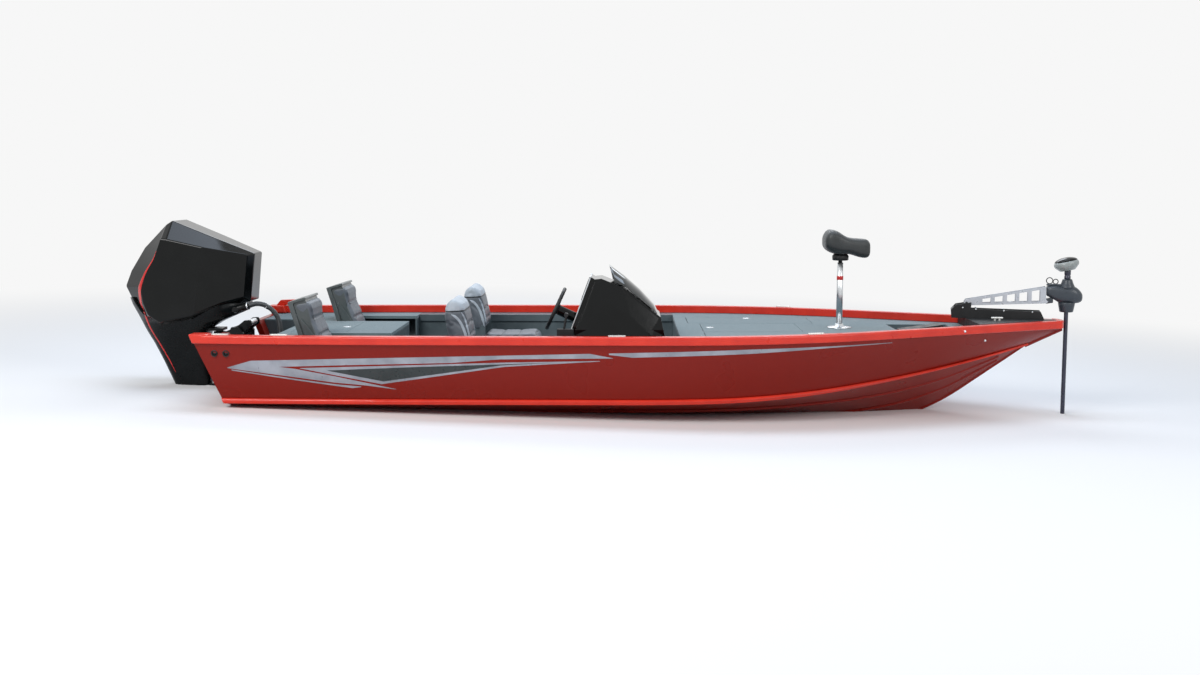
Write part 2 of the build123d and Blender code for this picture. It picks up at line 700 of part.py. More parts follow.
def make_locker(lid):
    """The tub under a lid, with the gutter that the lid's edge rests on."""
    _, x0, x1, y0, y1 = lid

    def grown(amount, z0, z1):
        return block(x0 - amount, x1 + amount, y0 - amount, y1 + amount, z0, z1)

    top = DECK_Z - DECK_THICKNESS
    ledge = LOCKER_LEDGE
    flange = grown(17, top - 6, top - SEAT_GAP).fuse(grown(LID_GAP - 0.5, top - 1, top + 2 - SEAT_GAP))
    tub = grown(-ledge + 6, top - LOCKER_DEPTH, top - 1)
    return flange.fuse(tub).cut(grown(-ledge, top - LOCKER_DEPTH + 6, top + 10))


# Seats


def hinge_cheeks(pivot, half, low, reach):
    """Two upright plates, with the pins that a folding back turns on."""
    x, y, z = pivot
    cheeks = []
    for sign in (-1, 1):
        inner = y + sign * (half + 0.5)
        outer = inner + sign * CHEEK_THICKNESS
        outline = [(x - 22, low), (x + 22, low), (x + 22, z + 9), (x + 9, z + 22), (x - 9, z + 22), (x - 22, z + 9)]
        plate = side_prism(outline, inner, outer)
        cheeks.append(plate.fuse(pin((x, inner - sign * reach, z), (x, outer, z), CHEEK_PIN_RADIUS)))
    return cheeks


def cheek_bores(pivot, half, reach):
    """The blind holes that take the cheeks' pins."""
    x, y, z = pivot
    ends = [(y + sign * (half - reach), y + sign * (half + 20)) for sign in (-1, 1)]
    return [bore((x, inner, z), (x, outer, z), CHEEK_PIN_RADIUS) for inner, outer in ends]


def make_seat_box(side):
    x0, x1 = SEAT_CUSHION_X
    low, high = FLOOR_Z, SEAT_CUSHION_Z - SEAT_CUSHION_THICKNESS
    half = SEAT_HALF_WIDTH - SEAT_BOX_INSET
    y = side * SEAT_Y
    outline = [(x0 - 60, low), (x1 - 60, low), (x1 - 20, high), (x0 - 60, high)]
    box = side_prism(outline, y - half, y + half)
    x = seat_hinge(side)[0]
    reach = SEAT_HALF_WIDTH + 0.5 + CHEEK_THICKNESS
    bar = block(x - 22, x + 22, y - reach, y + reach, high - 8, high)
    return box.fuse(bar, *hinge_cheeks(seat_hinge(side), SEAT_HALF_WIDTH, high - 8, 25))


def make_seat_cushion(side):
    x0, x1 = SEAT_CUSHION_X
    low, high = SEAT_CUSHION_Z - SEAT_CUSHION_THICKNESS, SEAT_CUSHION_Z
    y = side * SEAT_Y
    outline = [
        (x0, low + SEAT_GAP), (x1 - 30, low + SEAT_GAP), (x1, low + 50), (x1 - 22, high - 6), (x1 - 60, high),
        (x1 - 180, high - 8), (x0, high - 8),
    ]
    return side_prism(outline, y - SEAT_HALF_WIDTH, y + SEAT_HALF_WIDTH)


def seat_hinge(side):
    """Where a helm seat's back folds forward."""
    return (SEAT_CUSHION_X[0] + 10.0, side * SEAT_Y, SEAT_CUSHION_Z + 38.0)


def folding_back(profile, pivot, half, lean):
    """A back leaning aft, its side profile given from the pivot, bored for the pins."""
    x, y, z = pivot
    back = side_prism([(x + a, z + b) for a, b in profile], y - half, y + half)
    return turned(back, -lean, pivot).cut(*cheek_bores(pivot, half, 27))


def make_seat_back(side):
    top = (SEAT_BACK_TOP_Z - seat_hinge(side)[2]) / cos(radians(SEAT_BACK_LEAN)) + 4
    rear = PIVOT_INSET - SEAT_BACK_THICKNESS
    profile = [
        (PIVOT_INSET - 14, -28), (PIVOT_INSET, -12), (PIVOT_INSET + 8, 60), (PIVOT_INSET - 4, top - 70),
        (PIVOT_INSET - 36, top), (PIVOT_INSET - 90, top - 5), (rear, top - 130), (rear + 8, 20), (rear + 40, -20),
        (-20, -28),
    ]
    return folding_back(profile, seat_hinge(side), SEAT_HALF_WIDTH, SEAT_BACK_LEAN)


def jump_hinge(side):
    """Where a jump seat's back folds forward, to lie flush with the deck."""
    return (JUMP_CUSHION_X[0] - 15.0, side * JUMP_Y, DECK_Z + PIVOT_INSET - JUMP_BACK_THICKNESS)


def make_jump_cushion(side):
    x0, x1 = JUMP_CUSHION_X
    y = side * JUMP_Y
    low, high = JUMP_CUSHION_Z - JUMP_CUSHION_THICKNESS + 0.3, JUMP_CUSHION_Z
    outline = [(x0, low), (x1 - 20, low), (x1 - 20, high - 25), (x1 - 45, high), (x0, high)]
    return side_prism(outline, y - JUMP_HALF_WIDTH + 2, y + JUMP_HALF_WIDTH - 2)


def make_jump_back(side):
    top = (JUMP_BACK_TOP_Z - jump_hinge(side)[2]) / cos(radians(JUMP_BACK_LEAN)) + 4
    rear = PIVOT_INSET - JUMP_BACK_THICKNESS
    profile = [
        (PIVOT_INSET - 14, -28), (PIVOT_INSET, -14), (PIVOT_INSET - 4, top - 30), (PIVOT_INSET - 14, top - 8),
        (rear + 18, top - 24), (rear + 18, top), (rear, top), (rear, -12), (rear + 14, -28),
    ]
    return folding_back(profile, jump_hinge(side), JUMP_HALF_WIDTH, JUMP_BACK_LEAN)


# Helm


# Side views of the console, its gauge hood and its screen
CONSOLE_OUTLINE = (
    (-505, FLOOR_Z + SEAT_GAP), (-522, 598), (-380, 985), (-330, 990), (-180, 930), (83, 725), (110, 598),
    (110, FLOOR_Z + SEAT_GAP),
)
DASH_OUTLINE = ((-520, 598), (-545, 612), (-402, 1000), (-378, 985))
WINDSCREEN_OUTLINE = (
    (-276, 1078), (-262, 1072), (-60, 905), (40, 800), (60, 760), (50, 752 + SEAT_GAP), (-180, 930 + SEAT_GAP),
    (-330, 990 + SEAT_GAP), (-318, 990 + SEAT_GAP),
)
CONSOLE_WALL = 20.0


def make_console():
    """Faceted helm console, hollow from behind and below."""
    y0, y1 = CONSOLE_Y
    mid = CONSOLE_MID_Y
    # the upper body narrows towards its top
    taper = front_prism(
        [
            (y0, 100), (y0, 640), (y0 + 40, 760), (mid - 170, 1100), (mid + 170, 1100), (y1 - 40, 760), (y1, 640),
            (y1, 100),
        ],
        -700,
        300,
    )
    outer = overlap(side_prism(CONSOLE_OUTLINE, y0, y1), taper)
    inner = (y0 + CONSOLE_WALL, y1 - CONSOLE_WALL)
    cavity = side_prism([(-490, 100), (-490, 480), (60, 480), (60, 100)], *inner)
    legroom = block(-560, -400, *inner, 100, 480)
    return outer.cut(cavity, legroom).fuse(make_dash(), make_column())


def make_dash():
    """The gauge hood and switch panel, on the console's after face."""
    return side_prism(DASH_OUTLINE, CONSOLE_MID_Y - DASH_HALF, CONSOLE_MID_Y + DASH_HALF)


def make_windscreen():
    """A swept tinted screen on the console's nose."""
    return side_prism(WINDSCREEN_OUTLINE, CONSOLE_MID_Y - DASH_HALF, CONSOLE_MID_Y + DASH_HALF)


def wheel_frame():
    """Plane of the steering wheel, its normal along the column towards the driver."""
    lean = radians(WHEEL_LEAN)
    return Plane(origin=WHEEL_CENTRE, z_dir=(-cos(lean), 0, sin(lean)), x_dir=(0, 1, 0))


def make_steering_wheel():
    plane = wheel_frame()
    rings = []
    for i in range(24):
        turn = 2 * pi * i / 24
        section = []
        for k in range(8):
            angle = 2 * pi * (k + 0.5) / 8
            reach = WHEEL_RADIUS - WHEEL_RIM + WHEEL_RIM * cos(angle)
            section.append(plane.from_local_coords((reach * cos(turn), reach * sin(turn), WHEEL_RIM * sin(angle))))
        rings.append(section)
    wheel = ruled(rings, endless=True).fuse(
        turned_solid([(4, 42), (34, 42)], plane.offset(-22)), Solid.make_cylinder(42, 4, plane.offset(-22))
    )
    for angle in (90, 210, 330):
        length = WHEEL_RADIUS - WHEEL_RIM
        spoke = Location(plane) * Rot(0, 0, angle) * Pos(length / 2, 0, 0) * Box(length, 26, 9)
        wheel = wheel.fuse(spoke.solids()[0])
    return wheel


def make_column():
    plane = wheel_frame()
    return turned_solid([(0, 36), (COLUMN_LENGTH, 36)], plane.offset(-22 - SEAT_GAP - COLUMN_LENGTH))


def make_throttle():
    """Engine control on the console's after face."""
    box = block(-640, -522 - SEAT_GAP, CONSOLE_Y[0] + 20, CONSOLE_Y[0] + 70, 560, 640)
    lever = rod((-590, CONSOLE_Y[0] + 45, 640), (-575, CONSOLE_Y[0] + 45, 730), 8)
    knob = rod((-575, CONSOLE_Y[0] + 22, 738), (-575, CONSOLE_Y[0] + 68, 738), 15)
    return box.fuse(lever, knob)


# Pedestal seat


def make_pole():
    height = POLE_TOP_Z - DECK_Z
    profile = [(0, POLE_BASE_RADIUS), (8, POLE_BASE_RADIUS), (8, POLE_RADIUS), (height, POLE_RADIUS)]
    return turned_solid(profile, Plane(origin=(POLE_X, 0, DECK_Z)))


def make_bow_seat():
    """A saddle seat, its high lip aft, on a short spigot."""
    x0 = POLE_X - 130
    z = POLE_TOP_Z
    outline = [
        (0, 70), (0, 190), (40, 236), (100, 226), (165, 170), (235, 168), (310, 162), (345, 140), (350, 60), (335, 10),
        (230, 22), (190, 50), (60, 40),
    ]
    half = SADDLE_HALF
    saddle = side_prism([(x0 + a, z + 22 + h) for a, h in outline], -half, half)
    plan = mirrored_outline([(x0 - 5, half), (x0 + 150, half), (x0 + 355, half - 65)])
    spider = turned_solid([(0, 62), (60, 62)], Plane(origin=(POLE_X, 0, z + 16)))
    spigot = pin((POLE_X, 0, z + SEAT_GAP), (POLE_X, 0, z + 17), 15)
    return overlap(saddle, plan_prism(plan, z, z + 400)).fuse(spider, spigot)


# Outboard engine


def make_clamp_brackets():
    """The two clamp plates that hook over the transom, with the tilt tube between them."""
    rake = tan(radians(TRANSOM_RAKE))
    face = TRANSOM_X + (SHEER_Z + GUNWALE_HEIGHT - NOTCH_Z) * rake

    def aft(z):
        return face + (NOTCH_Z - z) * rake - 1

    plates = []
    for y in (-165.0, 135.0):
        outline = [
            (aft(100), 100), (aft(100) - 40, 105), (aft(300) - 55, 300), (TILT_X - 55, TILT_Z - 10),
            (TILT_X - 30, TILT_Z + 38), (TILT_X + 30, TILT_Z + 38), (TILT_X + 60, TILT_Z - 10),
            (TILT_X + 60, NOTCH_Z + SEAT_GAP), (aft(NOTCH_Z + SEAT_GAP), NOTCH_Z + SEAT_GAP),
        ]
        plates.append(side_prism(outline, y, y + 30))
    tube = pin((TILT_X, -165, TILT_Z), (TILT_X, 165, TILT_Z), TILT_TUBE_RADIUS)
    return plates[0].fuse(plates[1], tube)


def make_swivel_bracket():
    """Turns on the tilt tube, carries the steering tube and holds the steering ram between two ears."""
    hub = rod((TILT_X, -128, TILT_Z), (TILT_X, 128, TILT_Z), TILT_TUBE_RADIUS + 22)
    arm = [
        (TILT_X, TILT_Z + 36), (STEER_X, TILT_Z - 30), (STEER_X, 160), (STEER_X + 60, 150), (TILT_X - 60, TILT_Z - 60),
        (TILT_X, TILT_Z - 36),
    ]
    ear = [
        (TILT_X - 10, TILT_Z + 30), (RAM_X - 24, RAM_Z + 24), (RAM_X + 20, RAM_Z + 26), (RAM_X + 32, RAM_Z),
        (RAM_X + 18, RAM_Z - 26), (TILT_X + 30, TILT_Z - 20),
    ]
    ears = [side_prism(ear, sign * RAM_HALF, sign * (RAM_HALF + 12)) for sign in (-1, 1)]
    tube = rod((STEER_X, 0, 130), (STEER_X, 0, TILT_Z - 10), STEER_TUBE_RADIUS)
    tilt_bore = bore((TILT_X, -200, TILT_Z), (TILT_X, 200, TILT_Z), TILT_TUBE_RADIUS)
    steer_bore = bore((STEER_X, 0, 50), (STEER_X, 0, TILT_Z + 50), STEER_SHAFT_RADIUS)
    return hub.fuse(side_prism(arm, -60, 60), tube, *ears).cut(tilt_bore, steer_bore)


def make_steering_ram():
    """The steering cylinder across the bracket, its rod held by the ears."""
    half = RAM_HALF - SEAT_GAP
    bar = rod((RAM_X, -half, RAM_Z), (RAM_X, half, RAM_Z), 10, 12)
    return bar.fuse(rod((RAM_X, -75, RAM_Z), (RAM_X, 75, RAM_Z), RAM_RADIUS))


def make_rigging_hose():
    """The hose in two pieces, its after one carried by the engine and its forward one by the boat."""
    rings = hose_rings([*HOSE_AFT_ROUTE, *HOSE_FORE_ROUTE], HOSE_RADIUS)
    last = (len(HOSE_AFT_ROUTE) - 1) * BEND_STEPS
    aft, fore = rings[:last + 1], rings[last:]
    parting = (Vector(*HOSE_FORE_ROUTE[0]) - Vector(*HOSE_AFT_ROUTE[-1])).normalized() * SEAT_GAP
    fore[0] = [corner + parting for corner in fore[0]]
    return ruled(aft), ruled(fore)


# The cowl's facets: round its centre strip and where its flanks begin, each point as x, half width, z
COWL_RIDGE = (
    (-3604, 150, 1340), (-3553, 165, 1371), (-3250, 150, 1246), (-2954, 105, 1123), (-2993, 120, 760),
    (-3162, 205, 725), (-3388, 225, 626), (-3654, 200, 573), (-3787, 170, 641), (-3865, 150, 745), (-3936, 125, 877),
    (-3890, 125, 991), (-3776, 140, 1166),
)
COWL_BREAK = (
    (-3605, 296, 1238), (-3560, 300, 1234), (-3300, 288, 1176), (-2992, 185, 1117), (-3022, 188, 795),
    (-3190, 262, 752), (-3388, 300, 668), (-3640, 296, 620), (-3745, 290, 670), (-3800, 285, 762), (-3826, 283, 890),
    (-3775, 288, 985), (-3685, 292, 1100),
)
# How the flank's corners are joined across it, each as places in the table above
COWL_FLANK = ((12, 0, 8, 10), (0, 1, 7, 8), (1, 2, 6, 7), (2, 3, 5, 6), (12, 10, 11), (10, 8, 9), (3, 4, 5))
CHAP_OUTLINE = (
    (-2993, 759.6), (-3162, 724.6), (-3388, 625.6), (-3654, 572.6), (-3787, 640.6), (-3865, 744.6), (-3925, 800),
    (-3830, 600), (-3575, 20), (-3345, 20), (-3345, 560), (-3200, 612), (-2996, 697),
)
POWERHEAD_OUTLINE = ((-3640, 577), (-3388, 626.3), (-3200, 709), (-3180, 1040), (-3640, 1080))
POWERHEAD_HALF = 150.0
HOSE_SLEEVE = ((-3120.0, -185.0, 700.0), (-2985.0, -185.0, 735.0))


def engine_widths(low, high):
    """Front view of the engine's housing: narrow at its foot, widest at mid height, drawn in at the top."""
    w = ENGINE_HALF_WIDTH
    half = [(75, low), (90, 300), (170, 480), (w - 40, 640), (w, 880), (w - 25, 1080), (w - 115, high)]
    return [*half, *[(-y, z) for y, z in reversed(half)]]


def engine_plan(w):
    """Plan view of the engine's housing."""
    return mirrored_outline(
        [(-3950, 120), (-3880, w - 100), (-3780, w - 35), (-3600, w), (-3300, w - 10), (-3120, w - 70), (-2940, w - 180)]
    )


def make_cowl():
    """The engine's faceted cowl, open underneath."""
    rings = {}
    for side in (1, -1):
        for name, table in (("ridge", COWL_RIDGE), ("break", COWL_BREAK)):
            rings[name, side] = [Vector(x, side * y, z) for x, y, z in table]
    faces = []
    for i in range(len(COWL_RIDGE)):
        port, starboard = rings["ridge", 1], rings["ridge", -1]
        faces += flat_faces(port[i - 1], port[i], starboard[i], starboard[i - 1])
        for side in (1, -1):
            ridge, flank = rings["ridge", side], rings["break", side]
            faces += flat_faces(ridge[i - 1], ridge[i], flank[i], flank[i - 1])
    for side in (1, -1):
        for places in COWL_FLANK:
            corners = [rings["break", side][k] for k in places]
            faces += flat_faces(*[*corners, corners[0]][:4])
    cowl = Solid(Shell(faces))
    centre, share = Vector(-3440, 0, 960), 1 - 2 * COWL_WALL / ENGINE_HALF_WIDTH
    cavity = cowl.scale(share).translate(centre * (1 - share))
    (aft, low), (fore, high) = POWERHEAD_OUTLINE[0], POWERHEAD_OUTLINE[2]
    half = POWERHEAD_HALF + COWL_WALL
    way_in = block(aft - COWL_WALL, fore + COWL_WALL, -half, half, low - 50, high + 80)
    return cowl.cut(cavity).cut(way_in)


def make_powerhead():
    """The engine itself, as one plain block on the lower cowl."""
    return side_prism(POWERHEAD_OUTLINE, -POWERHEAD_HALF, POWERHEAD_HALF)


def make_chaps():
    """The lower cowl, the midsection's side covers and the sleeve that the rigging hose enters."""
    body = side_prism(CHAP_OUTLINE, -ENGINE_HALF_WIDTH, ENGINE_HALF_WIDTH)
    plan = plan_prism(engine_plan(ENGINE_HALF_WIDTH), 0, 1400)
    front = front_prism(engine_widths(0, 1380), -4000, -2900)
    return overlap(body, plan, front).fuse(rod(*HOSE_SLEEVE, HOSE_RADIUS + 7))


def make_steering_yoke():
    """Pivot shaft through the steering tube, with the arms that carry the engine."""
    aft = CHAP_OUTLINE[9][0] + SEAT_GAP
    upper = block(aft, STEER_X + 40, -70, 70, TILT_Z, TILT_Z + 20)
    lower = block(aft, STEER_X + 40, -60, 60, 90, 126)
    shaft = pin((STEER_X, 0, 100), (STEER_X, 0, TILT_Z + 10), STEER_SHAFT_RADIUS)
    return upper.fuse(shaft, lower)


# Sections down the leg: z, leading edge x, trailing edge x, half thickness
LEG_SECTIONS = (
    (20 - SEAT_GAP, -3350, -3570, 70), (-120, -3330, -3600, 46), (-260, -3300, -3560, 34), (-300, -3290, -3550, 40),
)
# The torpedo forward of the propeller: distance aft of its nose, radius
TORPEDO_PROFILE = ((0, 4), (15, 24), (60, 44), (120, 54))
TORPEDO_NOSE_X = -3230.0


def make_lower_unit():
    sections = []
    for z, fore, aft, half in LEG_SECTIONS:
        widest = (2 * fore + aft) / 3
        sections.append([(fore, 0, z), (widest, half, z), (aft, 8, z), (aft, -8, z), (widest, -half, z)])
    nose = Plane(origin=(TORPEDO_NOSE_X, 0, PROP_Z), z_dir=(-1, 0, 0))
    torpedo = turned_solid([*TORPEDO_PROFILE, (TORPEDO_NOSE_X - PROP_X - SEAT_GAP, 54)], nose)
    plate = plan_prism(
        mirrored_outline([(-3790, 60), (-3760, 110), (-3560, 120), (-3290, 60), (-3250, 1)]), CAVITATION_Z, CAVITATION_Z + 10
    )
    skeg = [(-3330, PROP_Z - 20), (-3530, PROP_Z - 20), (-3560, PROP_Z - 190), (-3500, PROP_Z - 195)]
    return ruled(sections).fuse(torpedo, plate, side_prism(skeg, -7, 7))


def twisted_blade(sections, pitch, centre_x, axis_z):
    """A propeller blade pointing up from a fore-and-aft axis, its sections turned to the pitch."""
    rings = []
    for radius, chord, thickness, rake in sections:
        turn = atan2(pitch, 2 * pi * radius)
        ring = []
        lens = ((0.5, 0), (0.2, 0.5), (-0.2, 0.5), (-0.5, 0), (-0.2, -0.5), (0.2, -0.5))
        for along, off in lens:
            a, n = along * chord, off * thickness
            x = a * sin(turn) + n * cos(turn)
            y = a * cos(turn) - n * sin(turn)
            ring.append((centre_x - rake + x, y, axis_z + radius))
        rings.append(ring)
    return ruled(rings)


def make_propeller():
    plane = Plane(origin=(PROP_X, 0, PROP_Z), z_dir=(-1, 0, 0))
    # the hub's forward end is round, where it turns against the torpedo
    collar = Solid.make_cylinder(PROP_HUB_RADIUS, HUB_COLLAR, plane)
    barrel = turned_solid([(HUB_COLLAR, PROP_HUB_RADIUS), (PROP_HUB_LENGTH, PROP_HUB_RADIUS - 8)], plane)
    prop = collar.fuse(barrel)
    blade = twisted_blade(PROP_SECTIONS, PROP_PITCH, PROP_X - PROP_HUB_LENGTH / 2, PROP_Z)
    for i in range(PROP_BLADES):
        prop = prop.fuse(turned(blade, 360 / PROP_BLADES * i, (PROP_X, 0, PROP_Z), (1, 0, 0)))
    return prop


# Bow-mounted electric motor, first in its own upright frame: x forward from its shaft, y across, z up


def bow_motor_place(shape):
    """From the motor's own frame into the boat's: the mount runs aft and to port."""
    x, y = BOW_MOTOR_SHAFT
    return Pos(x, y, 0) * Rot(0, 0, -BOW_MOTOR_ANGLE) * shape


def make_bow_motor_base():
    low = DECK_Z + BOW_PANEL_HEIGHT
    px, pz = BOW_MOTOR_PIVOT
    top = [
        (-845, low + SEAT_GAP), (-850, low + 62), (-815, low + 100), (-700, low + 120), (-700, low + 70), (-190, low + 60),
        (-165, low + 8), (-165, low + SEAT_GAP),
    ]
    slot = side_prism([(-830, low + 66), (-150, low + 10), (-150, low + 200), (-830, low + 200)], -52, 52)
    body = side_prism(top, -70, 70).cut(slot)
    return bow_motor_place(body.fuse(pin((px, -70, pz), (px, 70, pz), BOW_MOTOR_PIN_RADIUS)))


def make_bow_motor_arm():
    """Ladder-like twin arms that fold up and back."""
    (px, pz), (kx, kz), (tx, tz) = BOW_MOTOR_PIVOT, BOW_MOTOR_KNEE, BOW_MOTOR_ARM_END
    rise = (tz - pz - 26) / (tx - px)
    fall = (kz - 14 - pz + 20) / (kx - px)

    def upper(x):
        return pz + 26 + (x - px) * rise

    def lower(x):
        return pz - 20 + (x - px) * fall

    outline = [
        (px - 22, pz + 4), (px - 8, upper(px)), (tx, tz), (tx + 4, kz + 14), (kx + 14, kz), (kx, kz - 14), (px, pz - 20),
    ]
    plates = []
    for y in (-46, 34):
        plate = side_prism(outline, y, y + 12)
        for i in range(5):
            xa, xb = px + 118 + i * 90, px + 180 + i * 90
            window = [(xa, lower(xa) + 16), (xb, lower(xb) + 16), (xb, upper(xb) - 16), (xa, upper(xa) - 16)]
            plate = plate.cut(side_prism(window, y - 1, y + 13))
        plates.append(plate)
    cross = [block(x - 10, x + 10, -40, 40, lower(x) + 4, lower(x) + 18) for x in (px + 60, px + 320)]
    knee_pin = pin((kx, -46, kz), (kx, 46, kz), BOW_MOTOR_PIN_RADIUS)
    pin_hole = bore((px, -80, pz), (px, 80, pz), BOW_MOTOR_PIN_RADIUS)
    return bow_motor_place(plates[0].fuse(plates[1], knee_pin, *cross).cut(pin_hole))


def make_bow_motor_head():
    """The steering housing at the arm's end, with the socket that the shaft turns in."""
    kx, kz = BOW_MOTOR_KNEE
    side = [
        (kx + 20, kz + 16), (-148, 798), (-148, 868), (-60, 878), (50, 874), (110, 820), (112, 772), (90, 744), (-60, 744),
    ]
    plan = mirrored_outline([(-149, 46), (-60, 62), (40, 66), (95, 45), (113, 18)])
    housing = overlap(side_prism(side, -66, 66), plan_prism(plan, 700, 900))
    tongue = side_prism([(kx - 18, kz - 6), (kx - 18, kz + 16), (-100, kz + 30), (-100, kz - 10), (kx, kz - 18)], -33, 33)
    cup = turned_solid([(0, 62), (76, 50)], Plane(origin=(0, 0, 752), z_dir=(0, 0, -1)))
    neck = turned_solid([(0, 52), (60, 34)], Plane(origin=(0, 0, 866)))
    shaft_hole = bore((0, 0, 300), (0, 0, 1300), BOW_MOTOR_SHAFT_RADIUS)
    pin_hole = bore((kx, -60, kz), (kx, 60, kz), BOW_MOTOR_PIN_RADIUS)
    return bow_motor_place(housing.fuse(tongue, cup, neck).cut(shaft_hole, pin_hole))


# Distance up from the puck's foot and radius, and distance forward from the pod's after end and radius
PUCK_PROFILE = ((0, 60), (10, 66), (40, 92), (70, 88), (92, 60), (100, 30))
POD_PROFILE = ((0, 40), (340, 48), (390, 36), (415, 10))
BOW_MOTOR_SHAFT_TOP_Z = 1010.0


def make_bow_motor_shaft():
    """Shaft with the motor pod below and the control puck on top."""
    z = BOW_MOTOR_POD_Z
    shaft = pin((0, 0, z), (0, 0, BOW_MOTOR_SHAFT_TOP_Z), BOW_MOTOR_SHAFT_RADIUS)
    collar = turned_solid([(0, 24), (70, 24)], Plane(origin=(0, 0, 926 + SEAT_GAP)))
    tilt = radians(PUCK_TILT)
    puck = turned_solid(PUCK_PROFILE, Plane(origin=(0, 0, BOW_MOTOR_SHAFT_TOP_Z - 18), z_dir=(-sin(tilt), 0, cos(tilt))))
    pod = turned_solid(POD_PROFILE, Plane(origin=(BOW_MOTOR_POD_AFT_X, 0, z), z_dir=(1, 0, 0)))
    skeg = side_prism([(-60, z - 30), (40, z - 30), (-20, z - 150), (-60, z - 150)], -4, 4)
    return bow_motor_place(shaft.fuse(collar, puck, pod, skeg))


def make_bow_motor_propeller():
    x, z = BOW_MOTOR_POD_AFT_X - SEAT_GAP, BOW_MOTOR_POD_Z
    plane = Plane(origin=(x, 0, z), z_dir=(-1, 0, 0))
    collar = Solid.make_cylinder(38, HUB_COLLAR, plane)
    prop = collar.fuse(turned_solid([(HUB_COLLAR, 38), (52, 32), (64, 16)], plane, 16))
    blade = twisted_blade(BOW_PROP_SECTIONS, BOW_PROP_PITCH, x - 34, z)
    for i in range(3):
        prop = prop.fuse(turned(blade, 120 * i, (x, 0, z), (1, 0, 0)))
    return bow_motor_place(prop)


def build_parts():
    side = make_hull_side()
    hull = [make_hull_bottom(), side, side.mirror(Plane.XZ)]
    hose_aft, hose_fore = make_rigging_hose()
    parts = {
        "hull_bottom": hull[0],
        "hull_side_port": hull[1],
        "hull_side_starboard": hull[2],
        "transom": make_transom(hull),
        "keel_and_stem": Compound([make_keel(), make_stem()]),
        "chine_rails": port_and_starboard(make_chine_rail()),
        "bottom_strakes": Compound(
            [strake for share in STRAKE_SHARES for strake in port_and_starboard(make_strake(share)).solids()]
        ),
        "gunwales": make_gunwales(),
        "port_quarter_cap": make_port_quarter_cap(),
        "deck_lockers": Compound([make_locker(lid) for lid in LIDS]),
        "gunwale_cleats": make_cleats(),
        "cockpit_floor": make_floor(),
        "cockpit_sides": port_and_starboard(make_cockpit_side()),
        "bow_deck": make_bow_deck(),
        "bow_bulkheads": make_bow_bulkheads(hull),
        "bow_panel": make_bow_panel(),
        "pedal_tray": make_pedal_tray(),
        "foot_pedal": make_foot_pedal(),
        "rear_deck": make_rear_deck(),
        "rear_bulkheads": make_rear_bulkheads(hull),
        "splashwell": make_splashwell(),
        "jump_seat_pans": Compound([make_jump_pan(s) for s in (1, -1)]),
        "jump_seat_cushions": Compound([make_jump_cushion(s) for s in (1, -1)]),
        "helm_seat_boxes": Compound([make_seat_box(s) for s in (1, -1)]),
        "helm_seat_cushions": Compound([make_seat_cushion(s) for s in (1, -1)]),
        "console_body": make_console(),
        "windscreen": make_windscreen(),
        "engine_control": make_throttle(),
        "seat_pole": make_pole(),
        "bow_seat": make_bow_seat(),
        "steering_wheel": make_steering_wheel(),
        "clamp_brackets": make_clamp_brackets(),
        "swivel_bracket": make_swivel_bracket(),
        "steering_ram": make_steering_ram(),
        "rigging_hose_aft": hose_aft,
        "rigging_hose_fore": hose_fore,
        "engine_cowl": make_cowl(),
        "engine_powerhead": make_powerhead(),
        "engine_chaps": make_chaps(),
        "engine_yoke": make_steering_yoke(),
        "engine_lower_unit": make_lower_unit(),
        "engine_propeller": make_propeller(),
        "bow_motor_base": make_bow_motor_base(),
        "bow_motor_arm": make_bow_motor_arm(),
        "bow_motor_head": make_bow_motor_head(),
        "bow_motor_shaft": make_bow_motor_shaft(),
        "bow_motor_propeller": make_bow_motor_propeller(),
    }
    for side_name, side_sign in (("port", 1), ("starboard", -1)):
        parts[f"helm_seat_back_{side_name}"] = make_seat_back(side_sign)
        parts[f"jump_seat_back_{side_name}"] = make_jump_back(side_sign)
    for lid in LIDS:
        parts[lid[0]] = make_lid(lid)
    return parts


def main():
    os.makedirs("parts", exist_ok=True)
    for name, shape in build_parts().items():
        export_step(shape, os.path.join("parts", f"{name}.step"))


if __name__ == "__main__":
    main()
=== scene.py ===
"""The fishing boat's looks: smooth hull, paint, carpet, cushions and motors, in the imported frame."""

import math
from math import cos, pi, radians, sin, sqrt, tan

import bmesh
import bpy
from mathutils import Matrix, Vector
from mathutils.bvhtree import BVHTree
from mathutils.kdtree import KDTree


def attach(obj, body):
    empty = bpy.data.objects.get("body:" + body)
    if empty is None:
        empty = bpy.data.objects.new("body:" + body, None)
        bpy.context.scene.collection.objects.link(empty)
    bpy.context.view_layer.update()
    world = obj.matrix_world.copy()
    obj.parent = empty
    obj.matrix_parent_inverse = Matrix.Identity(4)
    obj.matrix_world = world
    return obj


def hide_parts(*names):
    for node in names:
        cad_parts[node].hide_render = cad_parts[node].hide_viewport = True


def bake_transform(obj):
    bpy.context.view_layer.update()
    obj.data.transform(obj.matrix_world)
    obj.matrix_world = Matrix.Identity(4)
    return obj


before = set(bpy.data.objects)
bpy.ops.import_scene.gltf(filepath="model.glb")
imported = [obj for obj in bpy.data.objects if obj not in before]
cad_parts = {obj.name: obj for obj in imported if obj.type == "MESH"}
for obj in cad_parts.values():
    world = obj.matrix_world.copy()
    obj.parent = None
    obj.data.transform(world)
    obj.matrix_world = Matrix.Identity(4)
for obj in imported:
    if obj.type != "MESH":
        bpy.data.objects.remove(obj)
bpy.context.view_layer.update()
scene = bpy.context.scene
scene.view_settings.view_transform = "Standard"
MM = 0.001
WATER_TILT = radians(1.87)  # the boat floats bow up

# Camera

